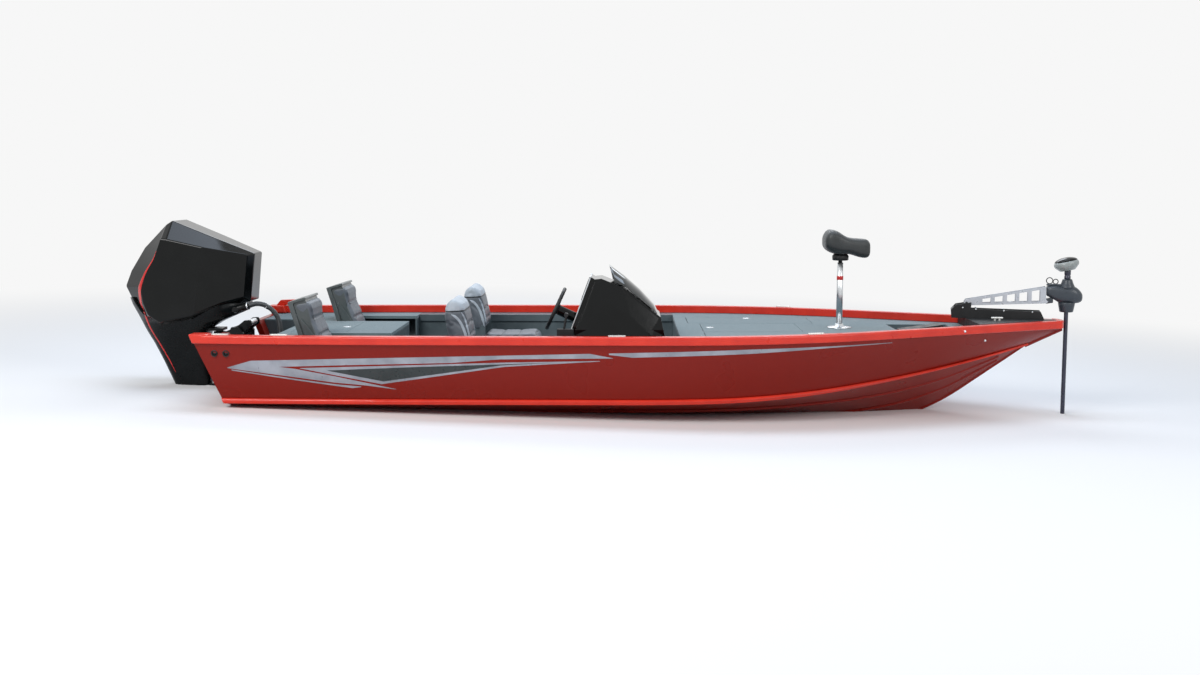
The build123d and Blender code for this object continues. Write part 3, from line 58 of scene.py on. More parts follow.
camera_data = bpy.data.cameras.new("camera")
camera_data.lens = 41.8
camera = bpy.data.objects.new("camera", camera_data)
camera.location = (-0.166, -10.56, 1.69)
camera.rotation_euler = (radians(90 - 6.55), 0, radians(1.03))
scene.collection.objects.link(camera)
scene.camera = camera


# Mesh helpers


def mm(*point):
    return Vector(point) * MM


def new_object(name, mesh):
    obj = bpy.data.objects.new(name, mesh)
    scene.collection.objects.link(obj)
    return obj


def mesh_piece(name, verts, faces, smooth=True):
    mesh = bpy.data.meshes.new(name)
    mesh.from_pydata([tuple(v) for v in verts], [], faces)
    bm = bmesh.new()
    bm.from_mesh(mesh)
    bmesh.ops.remove_doubles(bm, verts=bm.verts, dist=1e-6)
    bmesh.ops.dissolve_degenerate(bm, edges=bm.edges, dist=1e-7)
    bmesh.ops.recalc_face_normals(bm, faces=bm.faces)
    for face in bm.faces:
        face.smooth = smooth
    bm.to_mesh(mesh)
    bm.free()
    return new_object(name, mesh)


def grid_faces(rows, columns, close_rows=False, close_columns=False):
    faces = []
    for i in range(rows if close_rows else rows - 1):
        for j in range(columns if close_columns else columns - 1):
            a, b = i, (i + 1) % rows
            c, d = j, (j + 1) % columns
            faces.append((a * columns + c, a * columns + d, b * columns + d, b * columns + c))
    return faces


def loft(name, sections):
    """A closed form through closed sections that all have the same number of points."""
    n = len(sections[0])
    verts = [p for s in sections for p in s]
    faces = grid_faces(len(sections), n, close_columns=True)
    faces += [tuple(range(n)), tuple(range(len(verts) - n, len(verts)))]
    return mesh_piece(name, verts, faces)


def joined(name, parts):
    """Several mesh objects as one piece."""
    for obj in bpy.context.selected_objects:
        obj.select_set(False)
    for part in parts:
        part.select_set(True)
    bpy.context.view_layer.objects.active = parts[0]
    bpy.ops.object.join()
    parts[0].name = name
    parts[0].data.name = name
    return parts[0]


def with_mirror(piece):
    """The piece and its mirror image across the centreline, in one mesh."""
    bm = bmesh.new()
    bm.from_mesh(piece.data)
    copy = bmesh.ops.duplicate(bm, geom=bm.verts[:] + bm.edges[:] + bm.faces[:])["geom"]
    moved = [g for g in copy if isinstance(g, bmesh.types.BMVert)]
    for v in moved:
        v.co.y = -v.co.y
    bmesh.ops.reverse_faces(bm, faces=[g for g in copy if isinstance(g, bmesh.types.BMFace)])
    bm.to_mesh(piece.data)
    bm.free()
    return piece


def mirrored(piece, name):
    """The piece's mirror image across the centreline, as a piece of its own."""
    mesh = piece.data.copy()
    mesh.transform(Matrix.Diagonal((1, -1, 1, 1)))
    mesh.flip_normals()
    return new_object(name, mesh)


def split_off(piece, name, point, normal):
    """Cuts a closed piece at a plane and returns what lies ahead of it as a new piece, with the cut's line."""
    ahead = new_object(name, piece.data.copy())
    line = []
    for obj, side in ((ahead, "clear_inner"), (piece, "clear_outer")):
        bm = bmesh.new()
        bm.from_mesh(obj.data)
        geometry = bm.verts[:] + bm.edges[:] + bm.faces[:]
        bmesh.ops.bisect_plane(bm, geom=geometry, plane_co=point, plane_no=normal, **{side: True})
        edges = {e for e in bm.edges if e.is_boundary}
        bmesh.ops.holes_fill(bm, edges=list(edges))
        if obj is ahead and edges:
            vertex = next(iter(edges)).verts[0]
            while edges:
                edge = next((e for e in vertex.link_edges if e in edges), None)
                if edge is None:
                    break
                edges.discard(edge)
                line.append(vertex.co.copy())
                vertex = edge.other_vert(vertex)
        bm.to_mesh(obj.data)
        bm.free()
    return ahead, line


def bevelled(piece, width, segments=2, angle=30):
    modifier = piece.modifiers.new("bevel", "BEVEL")
    modifier.width = width
    modifier.segments = segments
    modifier.limit_method = "ANGLE"
    modifier.angle_limit = radians(angle)
    modifier.harden_normals = True
    return piece


def subdivided(piece, levels=2):
    modifier = piece.modifiers.new("subdivision", "SUBSURF")
    modifier.levels = levels
    modifier.render_levels = levels
    return piece


def applied(piece):
    """Turns the piece's modifiers into its mesh."""
    depsgraph = bpy.context.evaluated_depsgraph_get()
    mesh = bpy.data.meshes.new_from_object(piece.evaluated_get(depsgraph))
    piece.modifiers.clear()
    piece.data = mesh
    return piece


def prism(name, outline, direction):
    """A flat outline pushed along a direction."""
    n = len(outline)
    base = [Vector(p) for p in outline]
    verts = base + [p + Vector(direction) for p in base]
    faces = [tuple(range(n)), tuple(range(n, 2 * n))]
    faces += [(i, (i + 1) % n, n + (i + 1) % n, n + i) for i in range(n)]
    return mesh_piece(name, verts, faces, False)


def soft_prism(name, outline, direction, width, segments=2, angle=30):
    return applied(bevelled(prism(name, outline, direction), width, segments, angle))


def box_piece(name, low, high):
    (x0, y0, z0), (x1, y1, z1) = low, high
    return prism(name, [(x0, y0, z0), (x1, y0, z0), (x1, y1, z0), (x0, y1, z0)], (0, 0, z1 - z0))


def soft_box(name, low, high, width, segments=2):
    """A box with rounded edges, its corners in millimetres."""
    return applied(bevelled(box_piece(name, mm(*low), mm(*high)), width, segments))


def turned_form(name, profile, origin, segments, axis=(0, 0, 1), hollow=False):
    """A form of revolution: profile gives (distance along the axis, radius) in millimetres."""
    origin, axis = Vector(origin), Vector(axis).normalized()
    side = axis.orthogonal().normalized()
    other = axis.cross(side)
    sections = []
    for along, radius in profile:
        ring = []
        for i in range(segments):
            angle = 2 * pi * i / segments
            outwards = side * cos(angle) + other * sin(angle)
            ring.append(origin + axis * (along * MM) + outwards * max(radius * MM, 1e-5))
        sections.append(ring)
    if hollow:
        verts = [p for ring in sections for p in ring]
        return mesh_piece(name, verts, grid_faces(len(sections), segments, True, True))
    return loft(name, sections)


def superellipse(exponent, count):
    """A unit ring's points, squarer as the exponent falls from 1 to 0."""
    ring = []
    for i in range(count):
        c, s = cos(2 * pi * i / count), sin(2 * pi * i / count)
        ring.append((math.copysign(abs(c) ** exponent, c), math.copysign(abs(s) ** exponent, s)))
    return ring


def tube_mesh(name, points, radius, sides=10, closed=False, ribs=0.0, rib_length=0.01):
    """A round tube through a list of points, with rings raised along it if ribs is given."""
    points = [Vector(p) for p in points]
    if ribs:
        points = evenly(points, rib_length / 4)
    n = len(points)
    normal = None
    run = 0.0
    sections = []
    for i, point in enumerate(points):
        if closed:
            heading = points[(i + 1) % n] - points[i - 1]
        else:
            heading = points[min(i + 1, n - 1)] - points[max(i - 1, 0)]
        heading.normalize()
        if normal is None:
            normal = heading.orthogonal().normalized()
        normal = (normal - heading * normal.dot(heading)).normalized()
        other = heading.cross(normal)
        if i:
            run += (points[i] - points[i - 1]).length
        r = radius + ribs * (0.5 + 0.5 * cos(2 * pi * run / rib_length))
        angles = [2 * pi * k / sides for k in range(sides)]
        sections.append([point + (normal * cos(a) + other * sin(a)) * r for a in angles])
    verts = [p for ring in sections for p in ring]
    faces = grid_faces(n, sides, close_rows=closed, close_columns=True)
    if not closed:
        faces += [tuple(range(sides)), tuple(range(len(verts) - sides, len(verts)))]
    return mesh_piece(name, verts, faces)


def evenly(points, step):
    """Points at even steps along a line."""
    out, left = [points[0]], step
    for a, b in zip(points, points[1:]):
        length = (b - a).length
        while left <= length:
            out.append(a.lerp(b, left / length))
            left += step
        left -= length
    return out


def smooth_line(points, steps=10, closed=False):
    """A Catmull-Rom line through points."""
    points = [Vector(p) for p in points]
    n = len(points)
    out = []
    for i in range(n if closed else n - 1):
        if closed:
            a, b, c, d = (points[(i + k) % n] for k in (-1, 0, 1, 2))
        else:
            a, b, c, d = points[max(i - 1, 0)], points[i], points[i + 1], points[min(i + 2, n - 1)]
        for k in range(steps):
            t = k / steps
            squared, cubed = 2 * a - 5 * b + 4 * c - d, 3 * b - a - 3 * c + d
            out.append(0.5 * (2 * b + (c - a) * t + squared * t**2 + cubed * t**3))
    if not closed:
        out.append(points[-1])
    return out


def rounded_outline(points, steps=6):
    """A closed side-view outline with its corners rounded."""
    return [(p.x, p.z) for p in smooth_line([(x, 0, z) for x, z in points], steps, closed=True)]


PAD_ROWS = 13


def pillow(name, outline, half, edge, power=5.0):
    """A closed pad: a side-view outline pushed across, drawn in all round towards both ends."""
    cx = sum(x for x, _ in outline) / len(outline)
    cz = sum(z for _, z in outline) / len(outline)
    width = max(x for x, _ in outline) - min(x for x, _ in outline)
    height = max(z for _, z in outline) - min(z for _, z in outline)
    sections = []
    for i in range(PAD_ROWS):
        across = sin(pi / 2 * (-1 + 2 * i / (PAD_ROWS - 1)))
        drawn = edge * (1 - (1 - abs(across) ** power) ** (1 / power))
        fx, fz = 1 - 2 * drawn / width, 1 - 2 * drawn / height
        sections.append([mm(cx + (x - cx) * fx, half * across, cz + (z - cz) * fz) for x, z in outline])
    return loft(name, sections)


def places(piece):
    return [v.co.copy() for v in piece.data.vertices]


def move_to(piece, points):
    piece.data.vertices.foreach_set("co", [c for p in points for c in p])
    piece.data.update()


def creased(piece, line, width, depth):
    """Draws a pad's surface in along a seam."""
    samples = on_surface(piece, line)
    tree = KDTree(len(samples))
    for i, point in enumerate(samples):
        tree.insert(point, i)
    tree.balance()
    normals = [v.normal.copy() for v in piece.data.vertices]
    moved = []
    for place, normal in zip(places(piece), normals):
        share = max(0.0, 1 - tree.find(place)[2] / width)
        moved.append(place - normal * depth * share * share * (3 - 2 * share))
    move_to(piece, moved)
    return piece


CLOTH_FRAMES = 20


def puffed(piece, cap, low, high):
    """Swells a pad by cloth simulation, its points kept within cap of their start and inside a box."""
    remesh = piece.modifiers.new("remesh", "REMESH")
    remesh.mode = "VOXEL"
    remesh.voxel_size = 0.007
    remesh.use_smooth_shade = True
    applied(piece)
    start = places(piece)
    cloth = piece.modifiers.new("cloth", "CLOTH")
    cloth.settings.use_pressure = True
    cloth.settings.uniform_pressure_force = 4
    cloth.settings.effector_weights.gravity = 0
    cloth.point_cache.frame_start = 1
    cloth.point_cache.frame_end = CLOTH_FRAMES
    for number in range(1, CLOTH_FRAMES + 1):
        scene.frame_set(number)
    applied(piece)
    ended = []
    for after, before in zip(places(piece), start):
        moved = after - before
        if moved.length > cap:
            moved *= cap / moved.length
        ended.append(before + moved)
    move_to(piece, ended)
    scene.frame_set(1)
    smoothing = piece.modifiers.new("smoothing", "SMOOTH")
    smoothing.factor = 0.5
    smoothing.iterations = 4
    applied(piece)
    move_to(piece, [[min(max(p[k], low[k] * MM), high[k] * MM) for k in range(3)] for p in places(piece)])
    return piece


def surface_tree(piece):
    bm = bmesh.new()
    bm.from_mesh(piece.data)
    tree = BVHTree.FromBMesh(bm)
    bm.free()
    return tree


def on_surface(piece, points, sink=0.0):
    """Points drawn to the nearest place on a piece, and sunk into it."""
    tree = surface_tree(piece)
    out = []
    for point in points:
        place, normal, _, _ = tree.find_nearest(Vector(point))
        out.append(place - normal * sink)
    return out


def welt(name, piece, points, radius=0.0032, sink=0.0, closed=True):
    """Piping sewn along a line on a pad."""
    line = on_surface(piece, points, sink)
    for _ in range(3):
        rounded = line[:]
        for i in range(0 if closed else 1, len(line) if closed else len(line) - 1):
            rounded[i] = (line[i - 1] + line[i] * 2 + line[(i + 1) % len(line)]) / 4
        line = rounded
    return tube_mesh(name, line, radius, 8, closed)


def stitching(name, pad, lines):
    return [welt(name, pad, line, 0.0014, 0.0004, False) for line in lines]


def level_line(x, half, z):
    """A line across a pad, at one height."""
    return smooth_line([mm(x, -half, z), mm(x, 0, z), mm(x, half, z)], 30)


# Across a band: share of its half width, and its height as a share of the lift
BAND_SECTION = (
    (-1, -2), (-1, 0.1), (-0.8, 0.8), (-0.6, 1), (-0.35, 1), (-0.1, 1), (0.1, 1), (0.35, 1), (0.6, 1),
    (0.8, 0.8), (1, 0.1), (1, -2),
)


def inlay(name, piece, line, half_width, lift, toward):
    """A raised band along a line on a piece's side, seen along toward; a fourth number scales its width."""
    tree = surface_tree(piece)
    toward = Vector(toward)
    line = [Vector(p) for p in line]
    sections = []
    for i, at in enumerate(line):
        point = at.xyz
        ahead = (line[min(i + 1, len(line) - 1)] - line[max(i - 1, 0)]).xyz.normalized()
        across = ahead.cross(toward).normalized() * (at.w if len(at) == 4 else 1)
        taper = min(1.0, 0.15 + 5 * min(i, len(line) - 1 - i) / len(line))
        ring = []
        for share, height in BAND_SECTION:
            from_point = point + across * half_width * share * taper
            place, normal, _, _ = tree.ray_cast(from_point - toward * 0.5, toward)
            if place is None:
                place, normal, _, _ = tree.find_nearest(from_point)
            ring.append(place + normal * lift * height)
        sections.append(ring)
    return loft(name, sections)


# Materials


def linear(*rgb):
    """sRGB values from 0 to 255 as a linear colour."""
    out = []
    for value in rgb:
        c = value / 255
        out.append(c / 12.92 if c <= 0.04045 else ((c + 0.055) / 1.055) ** 2.4)
    return (*out, 1.0)


class Paint:
    """A procedural material: two tones mixed by a texture, with bump and varied roughness."""

    def __init__(self, name, **sockets):
        self.material = bpy.data.materials.new(name)
        self.material.use_nodes = True
        self.tree = self.material.node_tree
        self.shader = self.tree.nodes["Principled BSDF"]
        self.coords = self.add("ShaderNodeTexCoord").outputs["Object"]
        for socket, value in sockets.items():
            self.shader.inputs[socket.replace("_", " ")].default_value = value

    def add(self, kind, **settings):
        node = self.tree.nodes.new(kind)
        for key, value in settings.items():
            setattr(node, key, value)
        return node

    def link(self, source, target):
        self.tree.links.new(source, target)

    def noise(self, scale, detail=2.0, stretch=None):
        node = self.add("ShaderNodeTexNoise")
        node.inputs["Scale"].default_value = scale
        node.inputs["Detail"].default_value = detail
        self.link(self.stretched(stretch), node.inputs["Vector"])
        return node.outputs["Fac"]

    def cells(self, scale, output="Distance"):
        node = self.add("ShaderNodeTexVoronoi")
        node.inputs["Scale"].default_value = scale
        self.link(self.coords, node.inputs["Vector"])
        return node.outputs[output]

    def stretched(self, stretch):
        if stretch is None:
            return self.coords
        mapping = self.add("ShaderNodeMapping")
        mapping.inputs["Scale"].default_value = stretch
        self.link(self.coords, mapping.inputs["Vector"])
        return mapping.outputs["Vector"]

    def ramp(self, value, stops):
        node = self.add("ShaderNodeValToRGB")
        elements = node.color_ramp.elements
        while len(elements) < len(stops):
            elements.new(0.5)
        for element, (position, colour) in zip(elements, stops):
            element.position = position
            element.color = colour if hasattr(colour, "__len__") else (colour, colour, colour, 1)
        self.link(value, node.inputs["Fac"])
        return node.outputs["Color"]

    def tones(self, value, *stops):
        self.link(self.ramp(value, stops), self.shader.inputs["Base Color"])
        return self

    def gloss(self, value, low, high):
        self.link(self.ramp(value, [(0.3, low), (0.7, high)]), self.shader.inputs["Roughness"])
        return self

    def bump(self, value, distance, strength=1.0):
        node = self.add("ShaderNodeBump")
        node.inputs["Distance"].default_value = distance
        node.inputs["Strength"].default_value = strength
        self.link(value, node.inputs["Height"])
        previous = self.shader.inputs["Normal"].links
        if previous:
            self.link(previous[0].from_socket, node.inputs["Normal"])
        self.link(node.outputs["Normal"], self.shader.inputs["Normal"])
        return self


def metallic_paint(name, dark, light):
    paint = Paint(name, Metallic=0.15, Coat_Weight=0.15, Coat_Roughness=0.1, Specular_IOR_Level=0.2)
    flakes = paint.cells(900, output="Color")
    paint.tones(flakes, (0.2, linear(*dark)), (0.8, linear(*light)))
    paint.gloss(paint.noise(3), 0.26, 0.36)
    paint.bump(paint.noise(9), 0.0004, 0.4)
    return paint.material


def plain_paint(name, tone, other, roughness=0.3, coat=0.6, grain=220, depth=0.00012, metallic=0.0, shine=0.5):
    paint = Paint(name, Coat_Weight=coat, Coat_Roughness=0.08, Metallic=metallic, Specular_IOR_Level=shine)
    paint.tones(paint.noise(7, 4), (0.35, linear(*tone)), (0.65, linear(*other)))
    paint.gloss(paint.noise(23, 3), roughness * 0.8, roughness * 1.3)
    paint.bump(paint.noise(grain, 2), depth)
    return paint.material


def carpet(name, dark, light):
    paint = Paint(name, Roughness=0.95, Sheen_Weight=0.25, Sheen_Roughness=0.6, Specular_IOR_Level=0.15)
    fibres = paint.noise(520, 3)
    tips = tuple(min(1, c * 1.35) for c in linear(*light))
    paint.tones(fibres, (0.3, linear(*dark)), (0.5, linear(*light)), (0.72, tips))
    paint.bump(fibres, 0.002, 0.9)
    paint.bump(paint.noise(14, 3), 0.001, 0.35)
    return paint.material


def vinyl(name, tone, other):
    paint = Paint(name, Coat_Weight=0.08, Coat_Roughness=0.35, Sheen_Weight=0.08)
    paint.tones(paint.noise(11, 4), (0.3, linear(*tone)), (0.7, linear(*other)))
    paint.gloss(paint.noise(40, 3), 0.42, 0.58)
    paint.bump(paint.cells(620), 0.00035, 0.6)
    paint.bump(paint.noise(18, 3), 0.0012, 0.3)
    return paint.material


def brushed(name, tone, other, roughness=0.28):
    paint = Paint(name, Metallic=1.0, Anisotropic=0.4)
    grain = paint.noise(90, 3, (1, 1, 40))
    paint.tones(grain, (0.35, linear(*tone)), (0.65, linear(*other)))
    paint.gloss(grain, roughness * 0.8, roughness * 1.25)
    paint.bump(grain, 0.00006)
    return paint.material


RED = metallic_paint("red_flake_paint", (112, 13, 4), (144, 28, 10))
BRIGHT_RED = plain_paint(
    "bright_red_trim_paint", (204, 40, 20), (216, 48, 26), 0.34, 0.3, 90, 0.00003, 0.0, 0.35,
)
CARPET = carpet("grey_deck_carpet", (74, 88, 90), (108, 126, 129))
LINER = plain_paint("grey_moulded_liner", (76, 88, 92), (88, 100, 104), 0.5, 0.08, 420, 0.0002, 0.0, 0.35)
BLACK_PLASTIC = plain_paint(
    "black_moulded_plastic", (22, 23, 24), (30, 31, 32), 0.45, 0.0, 480, 0.0002, 0.0, 0.35,
)
BLACK_GLOSS = plain_paint("black_gloss_gelcoat", (7, 9, 9), (11, 13, 13), 0.1, 0.15, 40, 0.00003, 0.0, 0.16)
VINYL_DARK = vinyl("dark_grey_vinyl", (82, 89, 96), (94, 101, 108))
VINYL_LIGHT = vinyl("light_grey_vinyl", (166, 176, 184), (180, 189, 196))
VINYL_BLACK = vinyl("black_vinyl", (26, 30, 31), (36, 40, 41))
METAL = brushed("bright_brushed_metal", (196, 200, 203), (214, 217, 219))
SILVER = plain_paint("silver_painted_casting", (178, 183, 190), (192, 196, 202), 0.3, 0.3, 300, 0.0001, 0.6)
ENGINE_BLACK = plain_paint(
    "engine_black_enamel", (12, 15, 16), (17, 20, 21), 0.26, 0.06, 30, 0.00003, 0.0, 0.14,
)
SILVER_DECAL = plain_paint("silver_stripe_film", (138, 142, 150), (166, 170, 178), 0.34, 0.3, 60, 0.00002, 0.35)
DARK_DECAL = plain_paint("dark_stripe_film", (36, 44, 44), (48, 56, 56), 0.3, 0.3, 60, 0.00002, 0.0, 0.35)
RED_ACCENT = plain_paint("red_accent_film", (190, 20, 16), (206, 28, 22), 0.3, 0.3, 60, 0.00002)
SCREEN = plain_paint("tinted_screen_acrylic", (18, 24, 24), (24, 30, 30), 0.06, 0.6, 60, 0.00002)
RUBBER = plain_paint("ribbed_hose_rubber", (38, 41, 43), (50, 53, 55), 0.42, 0.1, 300, 0.0001)
# Grey of the jump backs' moulded shell, also used on their side plates as painted shade of a recess in the
# pad's side
SHELL_AND_RECESS_SHADE = plain_paint("grey_shell_and_painted_recess_shade", (62, 70, 70), (74, 82, 82), 0.34, 0.3, 420, 0.0001)
BOW_PLASTIC = plain_paint("dark_motor_plastic", (36, 44, 52), (46, 54, 62), 0.38, 0.15, 420, 0.0001)
SHAFT_METAL = plain_paint("dark_shaft_metal", (40, 42, 58), (50, 52, 68), 0.3, 0.4, 300, 0.00005, 0.4)
PUCK_GREY = plain_paint("pale_puck_plastic", (128, 134, 132), (150, 156, 152), 0.3, 0.4, 300, 0.0001)
GLASS = plain_paint("dark_display_glass", (10, 16, 24), (14, 22, 32), 0.05, 1.0, 60, 0.00001)
PROP_STEEL = brushed("polished_propeller_steel", (170, 172, 174), (190, 192, 194), 0.2)
WHITE_METAL = plain_paint("pale_cleat_casting", (214, 214, 208), (228, 228, 222), 0.3, 0.3, 120, 0.00004, 0.5)


def dressed(piece, material):
    piece.data.materials.clear()
    piece.data.materials.append(material)
    return piece


def finished(piece, body, material, replaces=()):
    """Dresses a new piece and lets it ride on its body."""
    if material is not None:
        dressed(piece, material)
    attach(piece, body)
    if replaces:
        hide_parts(*replaces)
    return piece


def dress_node(name, material):
    """A better material and soft edges for a CAD node that stays."""
    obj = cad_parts[name]
    if not obj.material_slots:
        obj.data.materials.append(material)
    for slot in obj.material_slots:
        slot.material = material
    weld = obj.modifiers.new("weld", "WELD")
    weld.merge_threshold = 1e-5
    bevelled(obj, 0.0015)


# Hull lines, in millimetres as in the CAD source

TRANSOM_X, TRANSOM_RAKE = -3145.0, radians(21.0)
SHEER_X, CHINE_X = 3130.0, 2864.0
SHEER_Z, KEEL_Z, CHINE_Z = 560.0, -190.0, 128.0
HALF_BEAM, HALF_CHINE = 1195.0, 1040.0
AFT_SWEEP_X, AFT_SHEER_RADIUS, AFT_CHINE_RADIUS = -1500.0, 18000.0, 33800.0
SHEER_BEND, CHINE_BEND = (92.0, 3337.0, 1508.0), (-200.0, 3700.0, 1500.0)
CHINE_RISE, KEEL_RISE = (350.0, 10500.0, 2514.0), (1458.0, 1638.0, 930.0)
PLATE = 12.0
GUNWALE_TOP = 618.0


def bend(x, line):
    start, radius, arc_run = line
    run = max(0.0, x - start)
    bent = min(run, arc_run)
    offset = radius - sqrt(radius**2 - bent**2)
    return offset + (run - bent) * bent / sqrt(radius**2 - bent**2)


def aft_sweep(x, radius):
    return bend(2 * AFT_SWEEP_X - x, (AFT_SWEEP_X, radius, radius / 2)) if x < AFT_SWEEP_X else 0.0


def chine_x(s):
    return s if s <= 0 else s * CHINE_X / SHEER_X


def half_sheer(x):
    return HALF_BEAM - bend(x, SHEER_BEND) - aft_sweep(x, AFT_SHEER_RADIUS)


def chine_point(s):
    x = chine_x(s)
    y = HALF_CHINE - bend(x, CHINE_BEND) - aft_sweep(x, AFT_CHINE_RADIUS)
    return Vector((x, y, CHINE_Z + bend(x, CHINE_RISE)))


def sheer_point(s):
    return Vector((s, half_sheer(s), SHEER_Z))


def keel_point(s):
    x = chine_x(s)
    return Vector((x, 0, min(KEEL_Z + bend(x, KEEL_RISE), chine_point(s).z - 1)))


def side_point(s, share, out=0.0):
    """On the port side panel, from chine (0) to sheer (1), pushed outwards by out."""
    low, high = chine_point(s), sheer_point(s)
    return low + (high - low) * share + Vector((0, out, 0))


def bottom_point(s, share):
    keel, edge = keel_point(s), chine_point(s) - Vector((0, PLATE, 0))
    return keel + (edge - keel) * share


def transom_x(z, inset=0.0):
    """Where the transom's after face, or a plane inset forward of it, lies at a height."""
    return TRANSOM_X + tan(TRANSOM_RAKE) * (GUNWALE_TOP - z) + inset / cos(TRANSOM_RAKE)


def stations(start, end, count):
    """From stern to bow, closer together towards the bow."""
    return [start + (end - start) * (1 - (1 - i / count) ** 1.25) for i in range(count + 1)]


# Hull plating

STATION_COUNT = 110
AFT_STATION = -2500.0  # heights are read here to find where each line starts on the transom
SIDE_SHARES = [i / 10 for i in range(11)]


def plating(name, point, shares, thickness, end=SHEER_X, inset=0.0):
    """A smooth skin with its inner face, from the transom plane, or inset forward of it, to the bow."""
    outer, inner = [], []
    for share in shares:
        start = transom_x(point(AFT_STATION, share).z, inset)
        row = [point(s, share) for s in stations(start, end, STATION_COUNT)]
        outer.append(row)
        inner.append([p + thickness for p in row])
    rows = outer + inner[::-1]
    verts = [p * MM for row in rows for p in row]
    columns = STATION_COUNT + 1
    faces = grid_faces(len(rows), columns, close_rows=True)
    for column in (0, columns - 1):
        for i in range(len(shares) - 1):
            back = len(rows) - 1 - i
            faces.append(tuple(r * columns + column for r in (i, i + 1, back - 1, back)))
    return mesh_piece(name, verts, faces)


def sharp_edges(piece, angle=35):
    """Smooth shading that keeps the form's corners."""
    bm = bmesh.new()
    bm.from_mesh(piece.data)
    for edge in bm.edges:
        edge.smooth = not (len(edge.link_faces) == 2 and edge.calc_face_angle(0) > radians(angle))
    bm.to_mesh(piece.data)
    bm.free()
    return piece


for skin, point, shares, thickness, nodes in (
    ("hull_side_skin", side_point, SIDE_SHARES, (0, -PLATE, 0), ("hull_side_port", "hull_side_starboard")),
    ("hull_bottom_skin", bottom_point, [i / 12 for i in range(13)], (0, 0, PLATE), ("hull_bottom",)),
):
    plates = sharp_edges(with_mirror(plating(skin, point, shares, Vector(thickness))))
    finished(plates, "hull", RED, nodes)


def make_hull_lining():
    """The grey inner face of the plating round the cockpit, behind the liner's open edges."""
    side, bottom = (
        plating(name, point, shares, Vector(thickness), 225.0, 47.0)
        for name, point, shares, thickness in (
            ("hull_lining", lambda s, share: side_point(s, share, -PLATE - 1),
             SIDE_SHARES[:-1] + [0.98], (0, -2, 0)),
            ("hull_lining_bottom", lambda s, share: bottom_point(s, share) + Vector((0, 0, PLATE + 1)),
             [0.6, 0.7, 0.8, 0.9, 0.985], (0, 0, 2)),
        )
    )
    return sharp_edges(with_mirror(joined("hull_lining", [side, bottom])))


finished(make_hull_lining(), "hull", LINER)


def swept(name, profile, end=SHEER_X, count=STATION_COUNT, smooth_angle=35, start_inset=0.0):
    """A form along the hull: profile(s) gives the closed section's points on the port side, in millimetres."""
    guide = profile(AFT_STATION)
    columns = []
    for i, sample in enumerate(guide):
        start = transom_x(sample.z, start_inset)
        columns.append([profile(s)[i] for s in stations(start, end, count)])
    sections = [[column[j] * MM for column in columns] for j in range(count + 1)]
    return sharp_edges(loft(name, sections), smooth_angle)


def chine_rail_profile(s):
    low, top = side_point(s, 0.0), side_point(s, 0.085)
    fade = 0.35 + 0.65 * min(1.0, (SHEER_X - s) / 600)
    under = [low + Vector((0, out * fade, up)) for out, up in ((14, -1), (24, 2), (26, 7))]
    over = [top + Vector((0, out * fade, up)) for out, up in ((18, -14), (11, -3), (6, 0))]
    return [low, *under, *over, top]


chine_rail = with_mirror(swept("chine_rail_skin", chine_rail_profile, SHEER_X, 140, 50))
finished(chine_rail, "hull", BRIGHT_RED, ("chine_rails",))


def strake_profile(share):
    def profile(s):
        inner, outer = bottom_point(s, share), bottom_point(s, share + 0.055)
        middle = (inner + outer) / 2
        outside = [outer - Vector((0, 1, 14)), outer - Vector((0, 6, 18))]
        return [inner, outer, *outside, middle - Vector((0, 0, 11)), inner - Vector((0, 0, 3))]

    return profile


strakes = [swept(f"strake_{i}", strake_profile(share), 2900.0) for i, share in enumerate((0.34, 0.66))]
strakes = with_mirror(joined("bottom_strakes_skin", strakes))
finished(strakes, "hull", RED, ("bottom_strakes",))


def keel_profile(s):
    wing, keel = bottom_point(s, 0.018), keel_point(s)
    foot = keel - Vector((0, 0, 14))
    starboard, port = (Vector((foot.x, side * wing.y * 0.8, foot.z + 3)) for side in (-1, 1))
    return [wing, keel, Vector((wing.x, -wing.y, wing.z)), starboard, foot, port]


keel = swept("keel_bar", keel_profile)


def stem_sections():
    low, high = chine_point(SHEER_X), sheer_point(SHEER_X)
    along = (high - low).normalized()
    ahead = Vector((along.z, 0, -along.x)).normalized()
    sections = []
    for i in range(25):
        share = -0.03 + 1.02 * i / 24
        p = low + (high - low) * min(max(share, 0), 1)
        ring = []
        for k in range(13):
            angle = pi * k / 12
            reach = 4 + 22 * sin(angle) if 0 < k < 12 else 0
            ring.append((Vector((p.x, p.y * cos(angle), p.z)) + ahead * reach) * MM)
        ring += [Vector((p.x - 10, y, p.z)) * MM for y in (-p.y * 0.9, p.y * 0.9)]
        sections.append(ring)
    return sections


stem = sharp_edges(loft("stem_bar", stem_sections()), 50)
keel = joined("keel_and_stem_bar", [keel, stem])
finished(keel, "hull", RED, ("keel_and_stem",))


def gunwale_profile(s):
    y = half_sheer(s)
    outer, inner, top = y + 25, y - 50, GUNWALE_TOP
    points = [(inner, SHEER_Z), (outer - 9, SHEER_Z), (outer - 3, SHEER_Z + 3), (outer, SHEER_Z + 11)]
    points += [(outer - 2, SHEER_Z + 24), (outer - 2, SHEER_Z + 28), (outer, SHEER_Z + 34)]
    for k in range(7):
        angle = pi / 2 * k / 6
        points.append((outer - 15 + 15 * cos(angle), top - 15 + 15 * sin(angle)))
    points += [(inner + 4, top), (inner, top - 4)]
    return [Vector((s, py, pz)) for py, pz in points]


gunwale = with_mirror(swept("gunwale_rail", gunwale_profile, 3105.0, 120, 40, 20.0))


